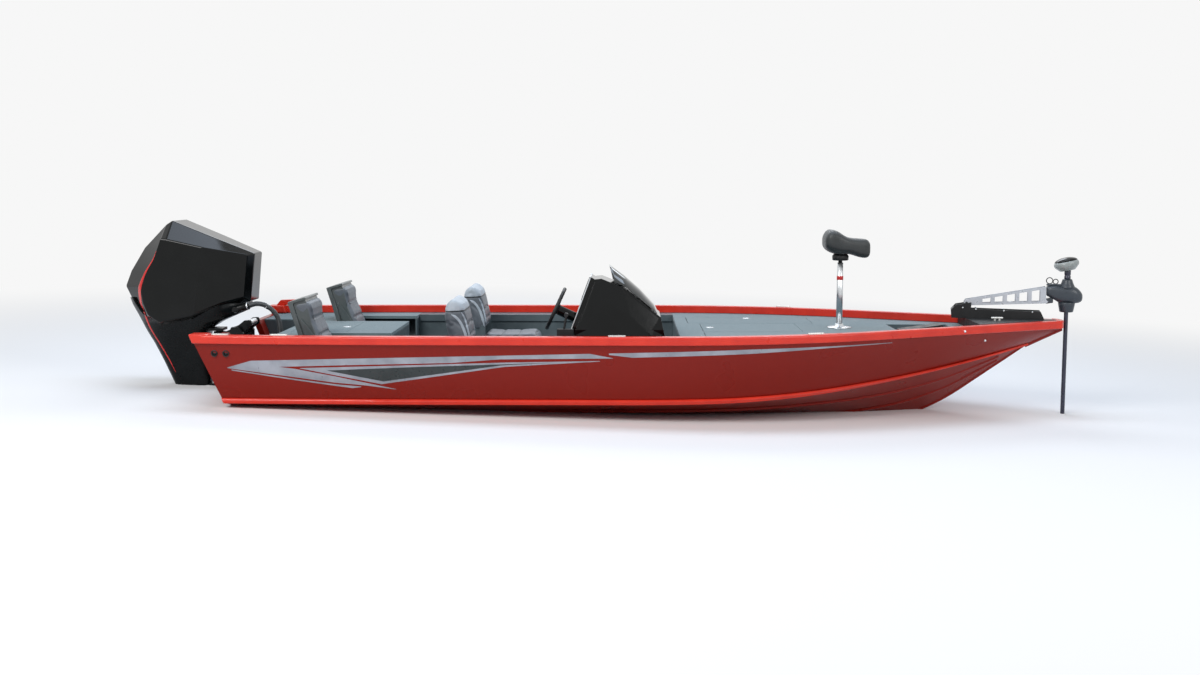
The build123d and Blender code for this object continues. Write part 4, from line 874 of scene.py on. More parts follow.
def make_nose_cap():
    """The curved cap that joins the rails at the bow."""
    half = half_sheer(3100) + 25
    arc = [(3100 + 46 * cos(pi / 2 * i / 12) ** 0.9, half * sin(pi / 2 * i / 12)) for i in range(-12, 13)]
    outline = [mm(x, y, SHEER_Z + 1) for x, y in [(3094, -half), *arc, (3094, half)]]
    return soft_prism("gunwale_nose_cap", outline, mm(0, 0, 60.5), 0.007, 3, 40)


def make_corner_caps():
    outer, inner = half_sheer(TRANSOM_X) + 31, half_sheer(TRANSOM_X) - 98
    side = [mm(transom_x(z) + run, inner, z) for run, z in ((-6, 561), (-6, 624), (118, 624), (118, 561))]
    return with_mirror(soft_prism("stern_corner_caps", side, mm(0, outer - inner, 0), 0.009, 3, 40))


gunwale = joined("gunwale_rail", [gunwale, make_nose_cap(), make_corner_caps()])
finished(gunwale, "hull", BRIGHT_RED, ("gunwales",))

# Stripes on both sides


def on_side(x, z, out):
    """The port side panel's surface at a place in side view, pushed outwards."""
    s = x
    for _ in range(12):
        low, high = chine_point(s), sheer_point(s)
        share = (z - low.z) / (high.z - low.z)
        s += x - (low.x + (high.x - low.x) * share)
    return side_point(s, share, out)


def height_at(chain, x):
    for (xa, za), (xb, zb) in zip(chain, chain[1:]):
        if xa <= x <= xb:
            return za + (zb - za) * (x - xa) / (xb - xa)
    return chain[-1][1]


def stripe(name, top, bottom, material, out):
    """A film on the side panels between a top and a bottom line of (x, z) points, from aft to fore."""
    start, end = top[0][0], top[-1][0]
    count = int((end - start) / 25) + 2
    xs = {start + (end - start) * i / count for i in range(count + 1)}
    xs = sorted(xs | {x for x, _ in top[1:-1] + bottom[1:-1]})
    rows = []
    for share in (0, 0.5, 1):
        row = []
        for x in xs:
            high, low = height_at(top, x), height_at(bottom, x)
            row.append(on_side(x, low + (max(high, low + 0.3) - low) * share, out) * MM)
        rows.append(row)
    piece = mesh_piece(name, [p for row in rows for p in row], grid_faces(3, len(xs)))
    return finished(with_mirror(piece), "hull", material)


for stripe_name, film, out, top_line, bottom_line in (
    ("stripe_upper_band", SILVER_DECAL, 0.9,
     [(-2906, 389), (-2735, 440), (-1879, 465), (-403, 500), (-247, 469)],
     [(-2906, 388), (-2565, 397), (-2016, 415), (-1354, 432), (-1017, 459), (-247, 467)]),
    ("stripe_long_blade", SILVER_DECAL, 0.9,
     [(-2906, 389), (-2564, 400), (-2432, 384), (-2156, 331), (-1744, 241)],
     [(-2906, 385), (-2425, 321), (-2161, 285), (-1949, 266), (-1744, 238)]),
    ("stripe_short_blade", SILVER_DECAL, 0.9,
     [(-2878, 376), (-2426, 310), (-2162, 274), (-1983, 258)],
     [(-2878, 368), (-2428, 300), (-2163, 262), (-2044, 246), (-1983, 254)]),
    ("stripe_wedge_outline", SILVER_DECAL, 0.9,
     [(-2398, 390), (-986, 436), (-335, 449)],
     [(-2398, 388), (-1841, 276), (-987, 405), (-335, 445)]),
    ("stripe_wedge_fill", DARK_DECAL, 1.8,
     [(-2206, 374), (-1620, 401), (-1013, 422), (-700, 434)],
     [(-2206, 372), (-1826, 296), (-1013, 415), (-700, 433)]),
    ("stripe_bow_taper", SILVER_DECAL, 0.9,
     [(-274, 503), (693, 526), (1722, 533)],
     [(-274, 493), (-117, 473), (695, 494), (1275, 519), (1722, 529)]),
):
    stripe(stripe_name, top_line, bottom_line, film, out)


def make_drain_fittings():
    """The two round through-hull fittings near the starboard stern."""
    flange = [(-4, 12), (0, 21), (4, 24), (7.5, 22.5), (9, 19), (6, 15.5), (-3, 14.5)]
    throat = [(-4, 14.6), (1.2, 14.6), (1.4, 0)]
    out = (0, -1, -0.06)
    parts = []
    for x in (-2985, -2904):
        at = on_side(x, 490, 0) * MM
        at.y = -at.y
        parts.append(turned_form(f"drain_{x}", flange, at, 32, out))
        parts.append(turned_form(f"drain_throat_{x}", throat, at, 24, out))
    finished(joined("drain_fittings", parts), "hull", BLACK_PLASTIC)


make_drain_fittings()

# Outboard engine: facets measured on the side view, each ring point as x, half width, z

RIDGE = (
    (-3604, 150, 1340), (-3553, 165, 1371), (-3250, 150, 1246), (-2954, 105, 1123), (-2993, 120, 760),
    (-3162, 205, 725), (-3388, 225, 626), (-3654, 200, 573), (-3787, 170, 641), (-3865, 150, 745),
    (-3936, 125, 877), (-3890, 125, 991), (-3776, 140, 1166),
)
BREAK = (
    (-3605, 296, 1238), (-3560, 300, 1234), (-3300, 288, 1176), (-2992, 185, 1117), (-3022, 188, 795),
    (-3190, 262, 752), (-3388, 300, 668), (-3640, 296, 620), (-3718, 290, 670), (-3754, 285, 762),
    (-3774, 283, 890), (-3732, 288, 985), (-3656, 292, 1100),
)
# How the flank's corners are joined across it, each as places in the table above
FLANK = ((12, 0, 8, 10), (0, 1, 7, 8), (1, 2, 6, 7), (2, 3, 5, 6), (12, 10, 11), (10, 8, 9), (3, 4, 5))


def ringed_form(name, ridge, brk):
    """A closed housing: a centre strip over the ridge ring, slanted bands to the break ring, flat flanks."""
    n = len(ridge)
    verts = [mm(x, sign * y, z) for sign in (1, -1) for ring in (ridge, brk) for x, y, z in ring]
    faces = []
    for i in range(n):
        j = (i + 1) % n
        faces.append((i, j, 2 * n + j, 2 * n + i))
        for first in (0, 2 * n):
            faces.append((first + i, first + j, first + n + j, first + n + i))
    faces += [tuple(first + k for k in face) for first in (n, 3 * n) for face in FLANK]
    return mesh_piece(name, verts, faces)


cowl = ringed_form("engine_cowl_shell", RIDGE, BREAK)
finished(bevelled(cowl, 0.012, 4, 14), "engine", BLACK_GLOSS, ("engine_cowl",))

# z, forward x, after x, half width of the lower cowl and the leg's side covers
CHAP_SECTIONS = (
    (20, -3345, -3575, 72), (110, -3345, -3614, 78), (300, -3345, -3697, 94), (440, -3345, -3758, 140),
    (540, -3342, -3803, 205), (600, -3240, -3828, 240), (680, -3060, -3868, 268), (740, -3030, -3900, 272),
    (790, -3060, -3918, 262),
)


def rounded_section(z, fore, aft, half):
    centre, reach = (fore + aft) / 2, (fore - aft) / 2
    return [mm(centre + reach * c, half * s, z) for c, s in superellipse(2 / 3.2, 40)]


def seam_height(x):
    """Underside of the cowl, which the lower cowl meets."""
    line = [(-3936, 877), (-3865, 745), (-3787, 641), (-3654, 573), (-3388, 626), (-3162, 725), (-2993, 760)]
    return height_at(line, min(max(x, -3935), -2994))


def make_chaps():
    sections = [rounded_section(*s) for s in CHAP_SECTIONS]
    for ring in sections:
        for p in ring:
            top = seam_height(p.x / MM) + 42
            p.z = min(p.z, top * MM)
    piece = sharp_edges(loft("engine_chaps_shell", sections), 60)
    return finished(piece, "engine", ENGINE_BLACK, ("engine_chaps",))


chaps = make_chaps()
latch = soft_box("engine_latch", (-3848, -16, 578), (-3812, 16, 636), 0.006, 3)
finished(latch, "engine", METAL)
trim_button = turned_form(
    "engine_trim_button", [(-6, 16), (2, 15.5), (4, 12), (4.5, 0)], mm(-3608, -74, 84), 20, (-0.5, -1, 0),
)
finished(trim_button, "engine", METAL)


ACCENT = (
    (-3640, 1150, 3), (-3668, 1085, 4), (-3728, 990, 7), (-3772, 893, 13), (-3787, 833, 16), (-3783, 758, 13),
    (-3768, 700, 10),
)
ACCENT_ON_LEG = (
    (-3772, 706, 10), (-3756, 645, 8), (-3736, 560, 7), (-3693, 440, 6), (-3662, 370, 5), (-3632, 300, 5),
    (-3592, 210, 4),
)


def make_accent(name, piece, table):
    """The red line down the engine's flank, its width given in millimetres."""
    line = smooth_line([(x * MM, -0.3, z * MM, half) for x, z, half in table], 6)
    finished(
        with_mirror(inlay(name, piece, line, MM, 0.0016, (0, 1, 0))), "engine", RED_ACCENT,
    )


make_accent("engine_accent_line", applied(cowl), ACCENT)
make_accent("engine_accent_on_leg", chaps, ACCENT_ON_LEG)

# Rigging hose between the engine's sleeve and the gland in the splashwell

HOSE_ROUTE = (
    (-2984, -185, 735.3), (-2932, -185, 748.8), (-2878, -182, 741), (-2857, -180, 728), (-2825, -176, 708),
    (-2785, -170, 656), (-2766, -166, 590), (-2762, -165, 480), (-2762, -165, 352.3),
)
HOSE_SPLIT = 3  # place in the route where the two pieces meet


def make_hose():
    line = smooth_line([mm(*point) for point in HOSE_ROUTE], 12)
    meeting = line[12 * HOSE_SPLIT]
    parts = (
        ("rigging_hose_aft", line[:12 * HOSE_SPLIT + 1], "swivel_bracket", "engine", meeting, line[0]),
        (
            "rigging_hose_fore", line[12 * HOSE_SPLIT:][::-1], "hull", "swivel_bracket", mm(-2762, -165, 400),
            meeting,
        ),
    )
    for node, points, first, second, start, end in parts:
        piece = dressed(tube_mesh(f"{node}_tube", points, 0.0172, 18, ribs=0.0024, rib_length=0.0085), RUBBER)
        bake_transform(piece)
        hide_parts(node)
    foot = mm(-3120, -185, 700)
    axis = mm(-2985, -185, 735) - foot
    sleeve = [(0, 20), (10, 25.5), (60, 26.2), (112, 26.8), (118, 28), (130, 28), (134, 26.2), (138.5, 21)]
    boot = turned_form("hose_sleeve_boot", sleeve, foot, 36, axis)
    finished(boot, "engine", BLACK_GLOSS)
    band = turned_form("hose_sleeve_band", [(119, 28.5), (119.5, 29), (128.5, 29), (129, 28.5)], foot, 36, axis)
    finished(band, "engine", METAL)


make_hose()

# Lower unit and propellers


def foil(z, fore, aft, half, count=32):
    """A streamlined section: round ahead, thin behind."""
    ring = []
    for i in range(count):
        t = 2 * pi * i / count
        ring.append(mm(fore - (fore - aft) * (1 - cos(t)) / 2, half * sin(t) * (1 + 0.35 * cos(t)) / 1.1, z))
    return ring


def make_lower_unit():
    leg = loft("leg", [foil(*s) for s in (
        (19.7, -3350, -3570, 70), (-40, -3343, -3586, 58), (-120, -3330, -3600, 45), (-150, -3322, -3598, 40),
        (-220, -3308, -3578, 34), (-262, -3298, -3560, 33), (-300, -3290, -3552, 38),
    )])
    nose = [(0, 2), (4, 12), (14, 23), (34, 35), (60, 44), (90, 50.5), (120, 54), (329.7, 54)]
    torpedo = turned_form("torpedo", nose, mm(-3230, 0, -345), 40, (-1, 0, 0))
    half = [(-3790, 0), (-3778, 70), (-3740, 108), (-3560, 120), (-3400, 94), (-3290, 56), (-3252, 0)]
    half = smooth_line([(x, y, 0) for x, y in half], 6)
    outline = [mm(p.x, p.y, -150) for p in half] + [mm(p.x, -p.y, -150) for p in half[-2:0:-1]]
    plate = soft_prism("cavitation_plate", outline, mm(0, 0, 10), 0.003, 2, 50)
    skeg = loft("skeg", [foil(*s) for s in (
        (-365, -3330, -3545, 7), (-440, -3385, -3556, 6), (-500, -3430, -3562, 5), (-538, -3478, -3562, 3.5),
    )])
    leg = joined("lower_unit_shell", [leg, torpedo, plate, skeg])
    finished(sharp_edges(leg, 40), "engine", ENGINE_BLACK, ("engine_lower_unit",))


make_lower_unit()


BLADE_POINTS = 14


def blade_mesh(name, table, pitch, centre_x):
    """A propeller blade pointing up from its axis: rows of radius, chord, thickness and aft rake."""
    rings = []
    for radius, chord, thickness, rake in smooth_line(table, 5):
        turn = math.atan2(pitch, 2 * pi * radius)
        ring = []
        for i in range(BLADE_POINTS):
            t = 2 * pi * i / BLADE_POINTS
            a, n = chord * cos(t) / 2, thickness * sin(t) / 2
            x = centre_x - rake + a * sin(turn) + n * cos(turn)
            ring.append(mm(x, a * cos(turn) - n * sin(turn), radius))
        rings.append(ring)
    return loft(name, rings)


def make_propeller(name, blades, table, pitch, centre_x, hub, place, body, material, node):
    """Blades round a hub whose profile runs aft from x 0, moved to its place."""
    parts = [turned_form(name + "_hub", hub, (0, 0, 0), 40, (-1, 0, 0))]
    for i in range(blades):
        blade = blade_mesh(f"{name}_blade_{i}", table, pitch, centre_x)
        blade.data.transform(Matrix.Rotation(2 * pi * i / blades, 4, "X"))
        parts.append(blade)
    piece = joined(name, parts)
    piece.data.transform(place)
    finished(piece, body, material, (node,))


make_propeller(
    "steel_propeller", 4,
    ((30, 96, 13, 6), (75, 140, 10, 4), (115, 160, 7.5, 9), (155, 138, 5, 14), (185, 60, 3, 18)), 635, -70,
    [
        (0, 30), (0.3, 52), (20, 52), (100, 48), (130, 46), (140, 44), (139, 38), (120, 36), (118, 12),
        (135, 11), (138, 0),
    ],
    Matrix.Translation(mm(-3560, 0, -345)), "engine_propeller", PROP_STEEL,
    "engine_propeller",
)

# Steering wheel


def wheel_matrix():
    """Wheel's own frame: z along the column towards the driver, y across the boat."""
    lean = radians(24.8)
    normal = Vector((-cos(lean), 0, sin(lean)))
    side = Vector((0, 1, 0))
    place = Matrix((side, normal.cross(side), normal)).transposed().to_4x4()
    place.translation = mm(-657, -700, 764)
    return place


RIM_STEPS, RIM_SIDES, RIM_RADIUS, RIM_TUBE = 72, 14, 0.152, 0.0125


def make_rim():
    """The rim's tube, with grips along it."""
    verts = []
    for i in range(RIM_STEPS):
        a = 2 * pi * i / RIM_STEPS
        grip = 1 + 0.06 * cos(24 * a)
        for k in range(RIM_SIDES):
            b = 2 * pi * k / RIM_SIDES
            r = RIM_RADIUS + RIM_TUBE * cos(b) * grip
            verts.append(Vector((r * cos(a), r * sin(a), RIM_TUBE * sin(b) * grip)))
    return mesh_piece("wheel_rim", verts, grid_faces(RIM_STEPS, RIM_SIDES, True, True))


def make_wheel():
    hub = turned_form(
        "wheel_hub", [(-22, 30), (-20, 40), (4, 43), (11, 38), (11.5, 12), (10.5, 0)], (0, 0, 0), 40,
    )
    parts = [make_rim(), hub]
    for degrees in (90, 210, 330):
        a = radians(degrees)
        sections = []
        for i in range(9):
            share = i / 8
            r = 0.03 + (0.148 - 0.03) * share
            half = 0.019 - 0.010 * sin(pi * min(share * 1.1, 1))
            rise = 0.006 - 0.012 * (1 - share) ** 2
            ring = []
            for k in range(12):
                b = 2 * pi * k / 12
                across, up = half * cos(b), 0.0055 * sin(b) + rise
                ring.append(Vector((r * cos(a) - across * sin(a), r * sin(a) + across * cos(a), up)))
            sections.append(ring)
        parts.append(loft(f"spoke_{degrees}", sections))
    wheel = joined("steering_wheel_rim", parts)
    wheel.data.transform(wheel_matrix())
    finished(wheel, "steering_wheel", BLACK_PLASTIC, ("steering_wheel",))


make_wheel()

# Windscreen

CONSOLE_MID_Y, SCREEN_HALF = -695.0, 163.0
SCREEN_LINE = [(-276, 1078), (-170, 1000), (-60, 905), (40, 800), (60, 758)]
CONSOLE_TOP_LINE = [(-380, 985), (-330, 990), (-180, 930), (83, 725)]


def make_windscreen():
    """A thin swept screen, its sides down on the console."""
    rows = []
    for i in range(29):
        share = i / 28
        k = share * (len(SCREEN_LINE) - 1)
        j = min(int(k), len(SCREEN_LINE) - 2)
        (xa, za), (xb, zb) = SCREEN_LINE[j], SCREEN_LINE[j + 1]
        x, z = xa + (xb - xa) * (k - j), za + (zb - za) * (k - j)
        row = []
        for v in range(25):
            across = -1 + 2 * v / 24
            sweep = 30 * across**2
            seat = height_at(CONSOLE_TOP_LINE, min(max(x, -379), 82)) + 1
            drop = max(0.0, z - seat) * abs(across) ** 2.6
            row.append(mm(min(x + sweep * (1 - share), 74), CONSOLE_MID_Y + SCREEN_HALF * across, z - drop))
        rows.append(row)
    screen = mesh_piece("windscreen_pane", [p for r in rows for p in r], grid_faces(29, 25))
    solid = screen.modifiers.new("thickness", "SOLIDIFY")
    solid.thickness = 0.004
    finished(screen, "hull", SCREEN, ("windscreen",))


make_windscreen()

# Upholstery: built for the starboard seats and mirrored to port

SIDES = ("starboard", "port")


def both_sides(piece, base, material, bodies, nodes=()):
    """Finishes a starboard piece and its port twin, with bodies and replaced nodes in that order."""
    twin = mirrored(piece, f"{base}_port")
    piece.name = f"{base}_starboard"
    for i, obj in enumerate((piece, twin)):
        finished(obj, bodies[i], material, nodes[i:i + 1])


def leaned(x, y, z, degrees):
    """From a back's own side view, upright and about its pivot, to its place."""
    return Matrix.Translation(mm(x, y, z)) @ Matrix.Rotation(radians(-degrees), 4, "Y")


def cushion_seams(x0, x1, half, z, channels):
    """Lines for a seat cushion: its welt, and the sewn channels across it."""
    corners = [(x0, -half), (x0, half), (x1, half), (x1, -half)]
    middles = [((a[0] + b[0]) / 2, (a[1] + b[1]) / 2) for a, b in zip(corners, corners[1:] + corners[:1])]
    line = []
    for (xc, yc), (xm, ym) in zip(corners, middles):
        line += [(xc * 0.985 + xm * 0.015, yc * 0.985 + ym * 0.015, z), (xm, ym, z)]
    return smooth_line([mm(*p) for p in line], 24, closed=True), [level_line(x, half - 6, z) for x in channels]


def make_cushion(base, outline, y, half, box, welt_box, channels, cap):
    """A seat cushion in its own frame about y, swollen, sewn and piped."""
    pad = puffed(pillow(base, rounded_outline(outline), half, 22), cap, *box)
    x0, x1, inner, z = welt_box
    edge, rows = cushion_seams(x0, x1, inner, z, channels)
    for row in rows:
        creased(pad, row, 0.02, 0.006)
    creased(pad, edge, 0.014, 0.003)
    piping = joined(base + "_piping", [welt(base + "_welt", pad, edge)] + stitching(base + "_seam", pad, rows))
    for obj in (pad, piping):
        obj.data.transform(Matrix.Translation(mm(0, y, 0)))
    node = base.replace("_", "_seat_") + "s"
    both_sides(pad, base, VINYL_DARK, ("hull", "hull"), (node, node))
    both_sides(piping, base + "_piping", VINYL_BLACK, ("hull", "hull"))


make_cushion(
    "helm_cushion",
    [
        (-1292, 370), (-1080, 366), (-856, 368), (-836, 392), (-832, 414), (-848, 442), (-884, 450),
        (-1000, 444), (-1180, 443), (-1290, 444),
    ],
    -586, 223, ((-1299, -234, 361), (-821, 234, 468)), (-1262, -868, 196, 470), (-1140, -1010), 0.016,
)
make_cushion(
    "jump_cushion",
    [
        (-2276, 328), (-2100, 325), (-1918, 327), (-1909, 346), (-1911, 364), (-1930, 380), (-2100, 378),
        (-2276, 380),
    ],
    -640, 192, ((-2284, -202, 319), (-1901, 202, 397)), (-2252, -1936, 168, 400), (-2150, -2045), 0.014,
)

HELM_TOP, JUMP_TOP = 360.0, 434.0


def make_helm_backs():
    """Folding backs with a pale cap sewn on top and pale bands sweeping down their sides."""
    bodies = [f"helm_seat_back_{side}" for side in SIDES]
    outline = [
        (6, -16), (20, 0), (27, 60), (24, 150), (14, HELM_TOP - 90), (0, HELM_TOP - 40), (-26, HELM_TOP - 14),
        (-58, HELM_TOP - 16), (-86, HELM_TOP - 52), (-108, HELM_TOP - 130), (-107, 110), (-96, 30), (-70, -6),
        (-26, -18),
    ]
    pad = pillow("helm_back", rounded_outline(outline, 5), 224, 26, 4.0)
    pad = puffed(pad, 0.013, (-119, -234, -27), (37, 234, HELM_TOP - 1))
    cap, cut = split_off(pad, "helm_back_cap", mm(0, 0, HELM_TOP - 112), Vector((0.12, 0, 1)))
    for obj in (pad, cap):
        creased(obj, cut, 0.012, 0.004)
    seam = welt("helm_back_welt", cap, evenly(cut + cut[:1], 0.008)[:-1], 0.0035)
    bands = []
    for side in (-1, 1):
        for line, width in (
            ([(-64, 236), (-30, 205), (-4, 150), (10, 80), (14, 6)], 0.009),
            ([(6, 238), (18, 200), (27, 140), (31, 80), (29, 30)], 0.005),
        ):
            path = smooth_line([mm(a, side * 225, b) for a, b in line], 8)
            bands.append(inlay(f"helm_band_{side}", pad, path, width, 0.002, (0, -side, 0)))
    bands = joined("helm_back_bands", bands)
    rows = [level_line(60, 200, b) for b in (150, 70)]
    for row in rows:
        creased(pad, row, 0.022, 0.006)
    sewn = joined("helm_back_sewing", stitching("helm_back_row", pad, rows) + [seam])
    for obj in (pad, cap, bands, sewn):
        obj.data.transform(leaned(-1290, -586, 508, 9))
    both_sides(pad, "helm_back", VINYL_DARK, bodies, bodies)
    both_sides(cap, "helm_back_cap", VINYL_LIGHT, bodies, ())
    both_sides(bands, "helm_back_bands", VINYL_LIGHT, bodies)
    both_sides(sewn, "helm_back_sewing", VINYL_BLACK, bodies)


def make_jump_backs():
    """Folding backs: a moulded shell with a lip along its top, a pad with a bulge under the lip, and dark
    plates on the pad's sides as painted shade of a recess there.
    """
    bodies = [f"jump_seat_back_{side}" for side in SIDES]
    half, top = 204, JUMP_TOP
    shell_side = [
        (-118, -10), (-118, top - 4), (-114, top), (8, top - 1), (14, top - 6), (14, top - 17), (8, top - 19),
        (-78, top - 19), (-86, top - 30), (-86, 6), (-74, -26), (-104, -26),
    ]
    core_side = [(-100, -8), (-100, top - 10), (2, top - 10), (6, top - 40), (-6, top - 190), (4, 60), (0, -4)]
    shell = joined("jump_shell", [
        soft_prism(name, [mm(a, -wide, b) for a, b in side], mm(0, 2 * wide, 0), width)
        for name, side, wide, width in (
            ("jump_shell", shell_side, half, 0.003), ("jump_core", core_side, 188, 0.004),
        )
    ])
    outline = [
        (10, -14), (18, 0), (19, 60), (12, 180), (4, top - 180), (12, top - 120), (25, top - 66),
        (19, top - 30), (-14, top - 22), (-80, top - 23), (-83, top - 120), (-83, 100), (-80, 0), (-56, -14),
    ]
    pad = pillow("jump_back", rounded_outline(outline, 5), 195, 16, 7.0)
    pad = puffed(pad, 0.011, (-85.5, -203, -27), (29.5, 203, top - 19.5))
    rows = [level_line(60, 170, b) for b in (top - 168, 150)]
    for row in rows:
        creased(pad, row, 0.022, 0.007)
    sewn = joined("jump_back_sewing", stitching("jump_row", pad, rows))
    # Dark plates on the pad's sides: painted shade, standing in for the shade of a lens-shaped recess in the
    # pad's side
    recess_shade_plates = []
    lens = [(-64, 296), (-38, 236), (-10, 150), (10, 50), (6, 6), (-36, 2), (-64, 16), (-72, 120), (-74, 230)]
    for side in (-1, 1):
        outline = [mm(x, side * 190, z) for x, z in rounded_outline(lens)]
        recess_shade_plates.append(soft_prism(f"jump_recess_shade_plate_{side}", outline, mm(0, side * 12.5, 0), 0.003, 2, 40))
    recess_shade_plates = joined("jump_back_recess_shade", recess_shade_plates)
    for obj in (pad, shell, recess_shade_plates, sewn):
        obj.data.transform(leaned(-2300, -640, 438, 17))
    both_sides(pad, "jump_back", VINYL_DARK, bodies, bodies)
    both_sides(shell, "jump_back_shell", SHELL_AND_RECESS_SHADE, bodies, ())
    # The side plates in the shell's grey are painted recess shade
    both_sides(recess_shade_plates, "jump_back_recess_shade", SHELL_AND_RECESS_SHADE, bodies, ())
    both_sides(sewn, "jump_back_sewing", VINYL_BLACK, bodies)


make_helm_backs()
make_jump_backs()

# Console: faceted flanks, and instruments on the dash's after face


def console_side_y(z):
    """Half width of the console's body at a height."""
    return height_at([(100, 250), (640, 250), (760, 210), (1100, 170)], z)


CONSOLE_FACETS = (
    (-497, 190, 0), (-513, 598, 0), (-378, 970, 0), (-332, 976, 0), (-185, 919, 0), (72, 719, 0), (99, 600, 0),
    (99, 190, 0), (-326, 850, 3), (-128, 736, 50), (22, 590, 12), (-420, 600, 12), (-240, 420, 34),
)
FACET_FACES = (
    (1, 2, 8, 11), (2, 3, 4, 9, 8), (4, 5, 10, 9), (5, 6, 10), (8, 9, 10, 11), (0, 1, 11), (0, 11, 12),
    (11, 10, 12), (10, 7, 12), (7, 0, 12), (6, 7, 10),
)


def make_console_flanks():
    verts = [mm(x, CONSOLE_MID_Y - console_side_y(z) - 0.4 - out, z) for x, z, out in CONSOLE_FACETS]
    rim, first = 8, len(verts)
    inner = [Vector((v.x, v.y + 0.012, v.z)) for v in verts[:rim]]
    faces = list(FACET_FACES) + [(i, (i + 1) % rim, first + (i + 1) % rim, first + i) for i in range(rim)]
    faces.append(tuple(range(first, first + rim)))
    panel = applied(bevelled(mesh_piece("console_flank_panel", verts + inner, faces, False), 0.004, 2, 4))
    twin = new_object("console_flank_panel_inboard", panel.data.copy())
    middle = Matrix.Translation(mm(0, CONSOLE_MID_Y, 0))
    twin.data.transform(middle @ Matrix.Diagonal((1, -1, 1, 1)) @ middle.inverted())
    twin.data.flip_normals()
    for obj in (panel, twin):
        finished(obj, "hull", BLACK_GLOSS)


DASH_UP = Vector((143, 0, 388)).normalized()
DASH_OUT = Vector((-DASH_UP.z, 0, DASH_UP.x))


def on_dash(piece):
    """From the dash's own frame, x across to port, y up its slope and z out, to its place."""
    place = Matrix(((0, DASH_UP.x, DASH_OUT.x, 0), (1, 0, 0, 0), (0, DASH_UP.z, DASH_OUT.z, 0), (0, 0, 0, 1)))
    piece.data.transform(Matrix.Translation(mm(-545, CONSOLE_MID_Y, 612)) @ place)
    return piece


def make_dash_fittings():
    bezel = [soft_box("display_bezel", (-128, 232, -2), (128, 392, 12), 0.006, 3)]
    glass = [box_piece("display_glass", mm(-112, 250, 11.2), mm(112, 378, 12.6))]
    rings, faces, needles = [], [], []
    for x in (-104, 104):
        at = mm(x, 176, 0)
        rings.append(turned_form("gauge_ring", [(-2, 41), (6, 42), (9, 39.5), (8.5, 36.5), (2, 36)], at, 40))
        faces.append(turned_form("gauge_face", [(-1, 36.5), (3.5, 36.2), (3.6, 0)], at, 32))
        for tick in range(9):
            a = radians(-135 + 270 * tick / 8)
            mark = box_piece("gauge_mark", mm(-0.8, 27, 3.6), mm(0.8, 33, 4.3))
            mark.data.transform(Matrix.Translation(at) @ Matrix.Rotation(a, 4, "Z"))
            needles.append(mark)
        needle_outline = [mm(x, y, 4.6) for x, y in ((-1.6, -5), (1.6, -5), (0.3, 26), (-0.3, 26))]
        needle = prism("gauge_needle", needle_outline, mm(0, 0, 1.2))
        needle.data.transform(Matrix.Translation(at) @ Matrix.Rotation(radians(70), 4, "Z"))
        needles.append(needle)
    switches = []
    for x in range(-125, 126, 50):
        switches.append(soft_box("rocker_frame", (x - 13, 30, -1), (x + 13, 74, 4), 0.002))
        switches.append(soft_box("rocker", (x - 9, 35, 3), (x + 9, 69, 9), 0.003))
    corners = [mm(x, y, 3) for x, y in ((-160, 8), (-160, 404), (160, 404), (160, 8))]
    frame_line = []
    for i, corner in enumerate(corners):
        frame_line += [corner.lerp(corners[i - 1], 0.06), corner.lerp(corners[(i + 1) % 4], 0.06)]
    edge = tube_mesh("dash_frame", smooth_line(frame_line, 6, True), 0.0055, 10, True)
    for name, parts, material, slot in (
        ("dash_switches", switches + bezel, BLACK_PLASTIC, "black_plastic"),
        ("dash_display_glass", glass + faces, GLASS, "black_gloss"),
        ("dash_gauge_rings", rings + [edge], METAL, "bright_metal"),
        ("dash_gauge_marks", needles, WHITE_METAL, "bright_metal"),
    ):
        finished(on_dash(joined(name, parts)), "hull", material)


make_console_flanks()
make_dash_fittings()

# Latches on the lids, and the bow panel's pale fitting

for lid, x, y in (
    ("lid_port_rod_locker", 815, 700), ("lid_starboard_rod_locker", 860, -700), ("lid_centre_storage", 480, 0),
    ("lid_livewell", -2290, 0),
):
    plate = turned_form(
        f"{lid}_latch", [(-1, 30), (0.8, 30.5), (2.4, 28), (2.6, 21), (1.4, 19.5), (1.6, 0)], mm(x, y, 556), 36,
    )
    pull = soft_box(f"{lid}_pull", (x - 16, y - 6, 557), (x + 16, y + 6, 560.5), 0.002)
    finished(joined(f"{lid}_latch", [plate, pull]), lid, METAL)

bow_cleat = [soft_box("cleat_bar", (2588, -92, 634), (2676, -68, 648), 0.006, 3)]
bow_cleat += [soft_box("cleat_foot", (x, -90, 619), (x + 14, -70, 638), 0.003) for x in (2608, 2642)]
finished(joined("bow_panel_cleat", bow_cleat), "hull", WHITE_METAL)
side_fittings = []
for at in (mm(2290, half_sheer(2290) + 25, 585), on_side(2480, 500, 0) * MM):
    fitting = turned_form("side_fitting", [(-6, 9), (4, 8.5), (6, 6), (6.5, 0)], at, 20, (0, 1, 0))
    side_fittings.append(fitting)
finished(with_mirror(joined("side_fittings", side_fittings)), "hull", METAL)

# Saddle seat at the bow

POLE_X = 1461
# Distance aft to fore, half width, top and underside
SADDLE_SECTIONS = (
    (0, 92, 165, 105), (8, 112, 190, 84), (30, 132, 226, 62), (62, 139, 236, 48), (105, 140, 222, 40),
    (150, 134, 186, 42), (195, 122, 171, 44), (240, 104, 168, 26), (285, 88, 165, 14), (322, 72, 156, 12),
    (342, 55, 138, 24), (350, 38, 112, 50),
)


def make_saddle():
    """The seat's swollen form, dished along its top."""
    sections = []
    for a, half, top, low in SADDLE_SECTIONS:
        centre, reach = (top + low) / 2, (top - low) / 2
        ring = []
        for c, s in superellipse(0.62, 36):
            y = half * c
            dish = -7 * (1 - (y / half) ** 2) if s > 0 and 60 < a < 320 else 0
            ring.append(mm(1331 + a, y, 1074 + centre + reach * s + dish))
        sections.append(ring)
    return subdivided(loft("bow_saddle", sections))


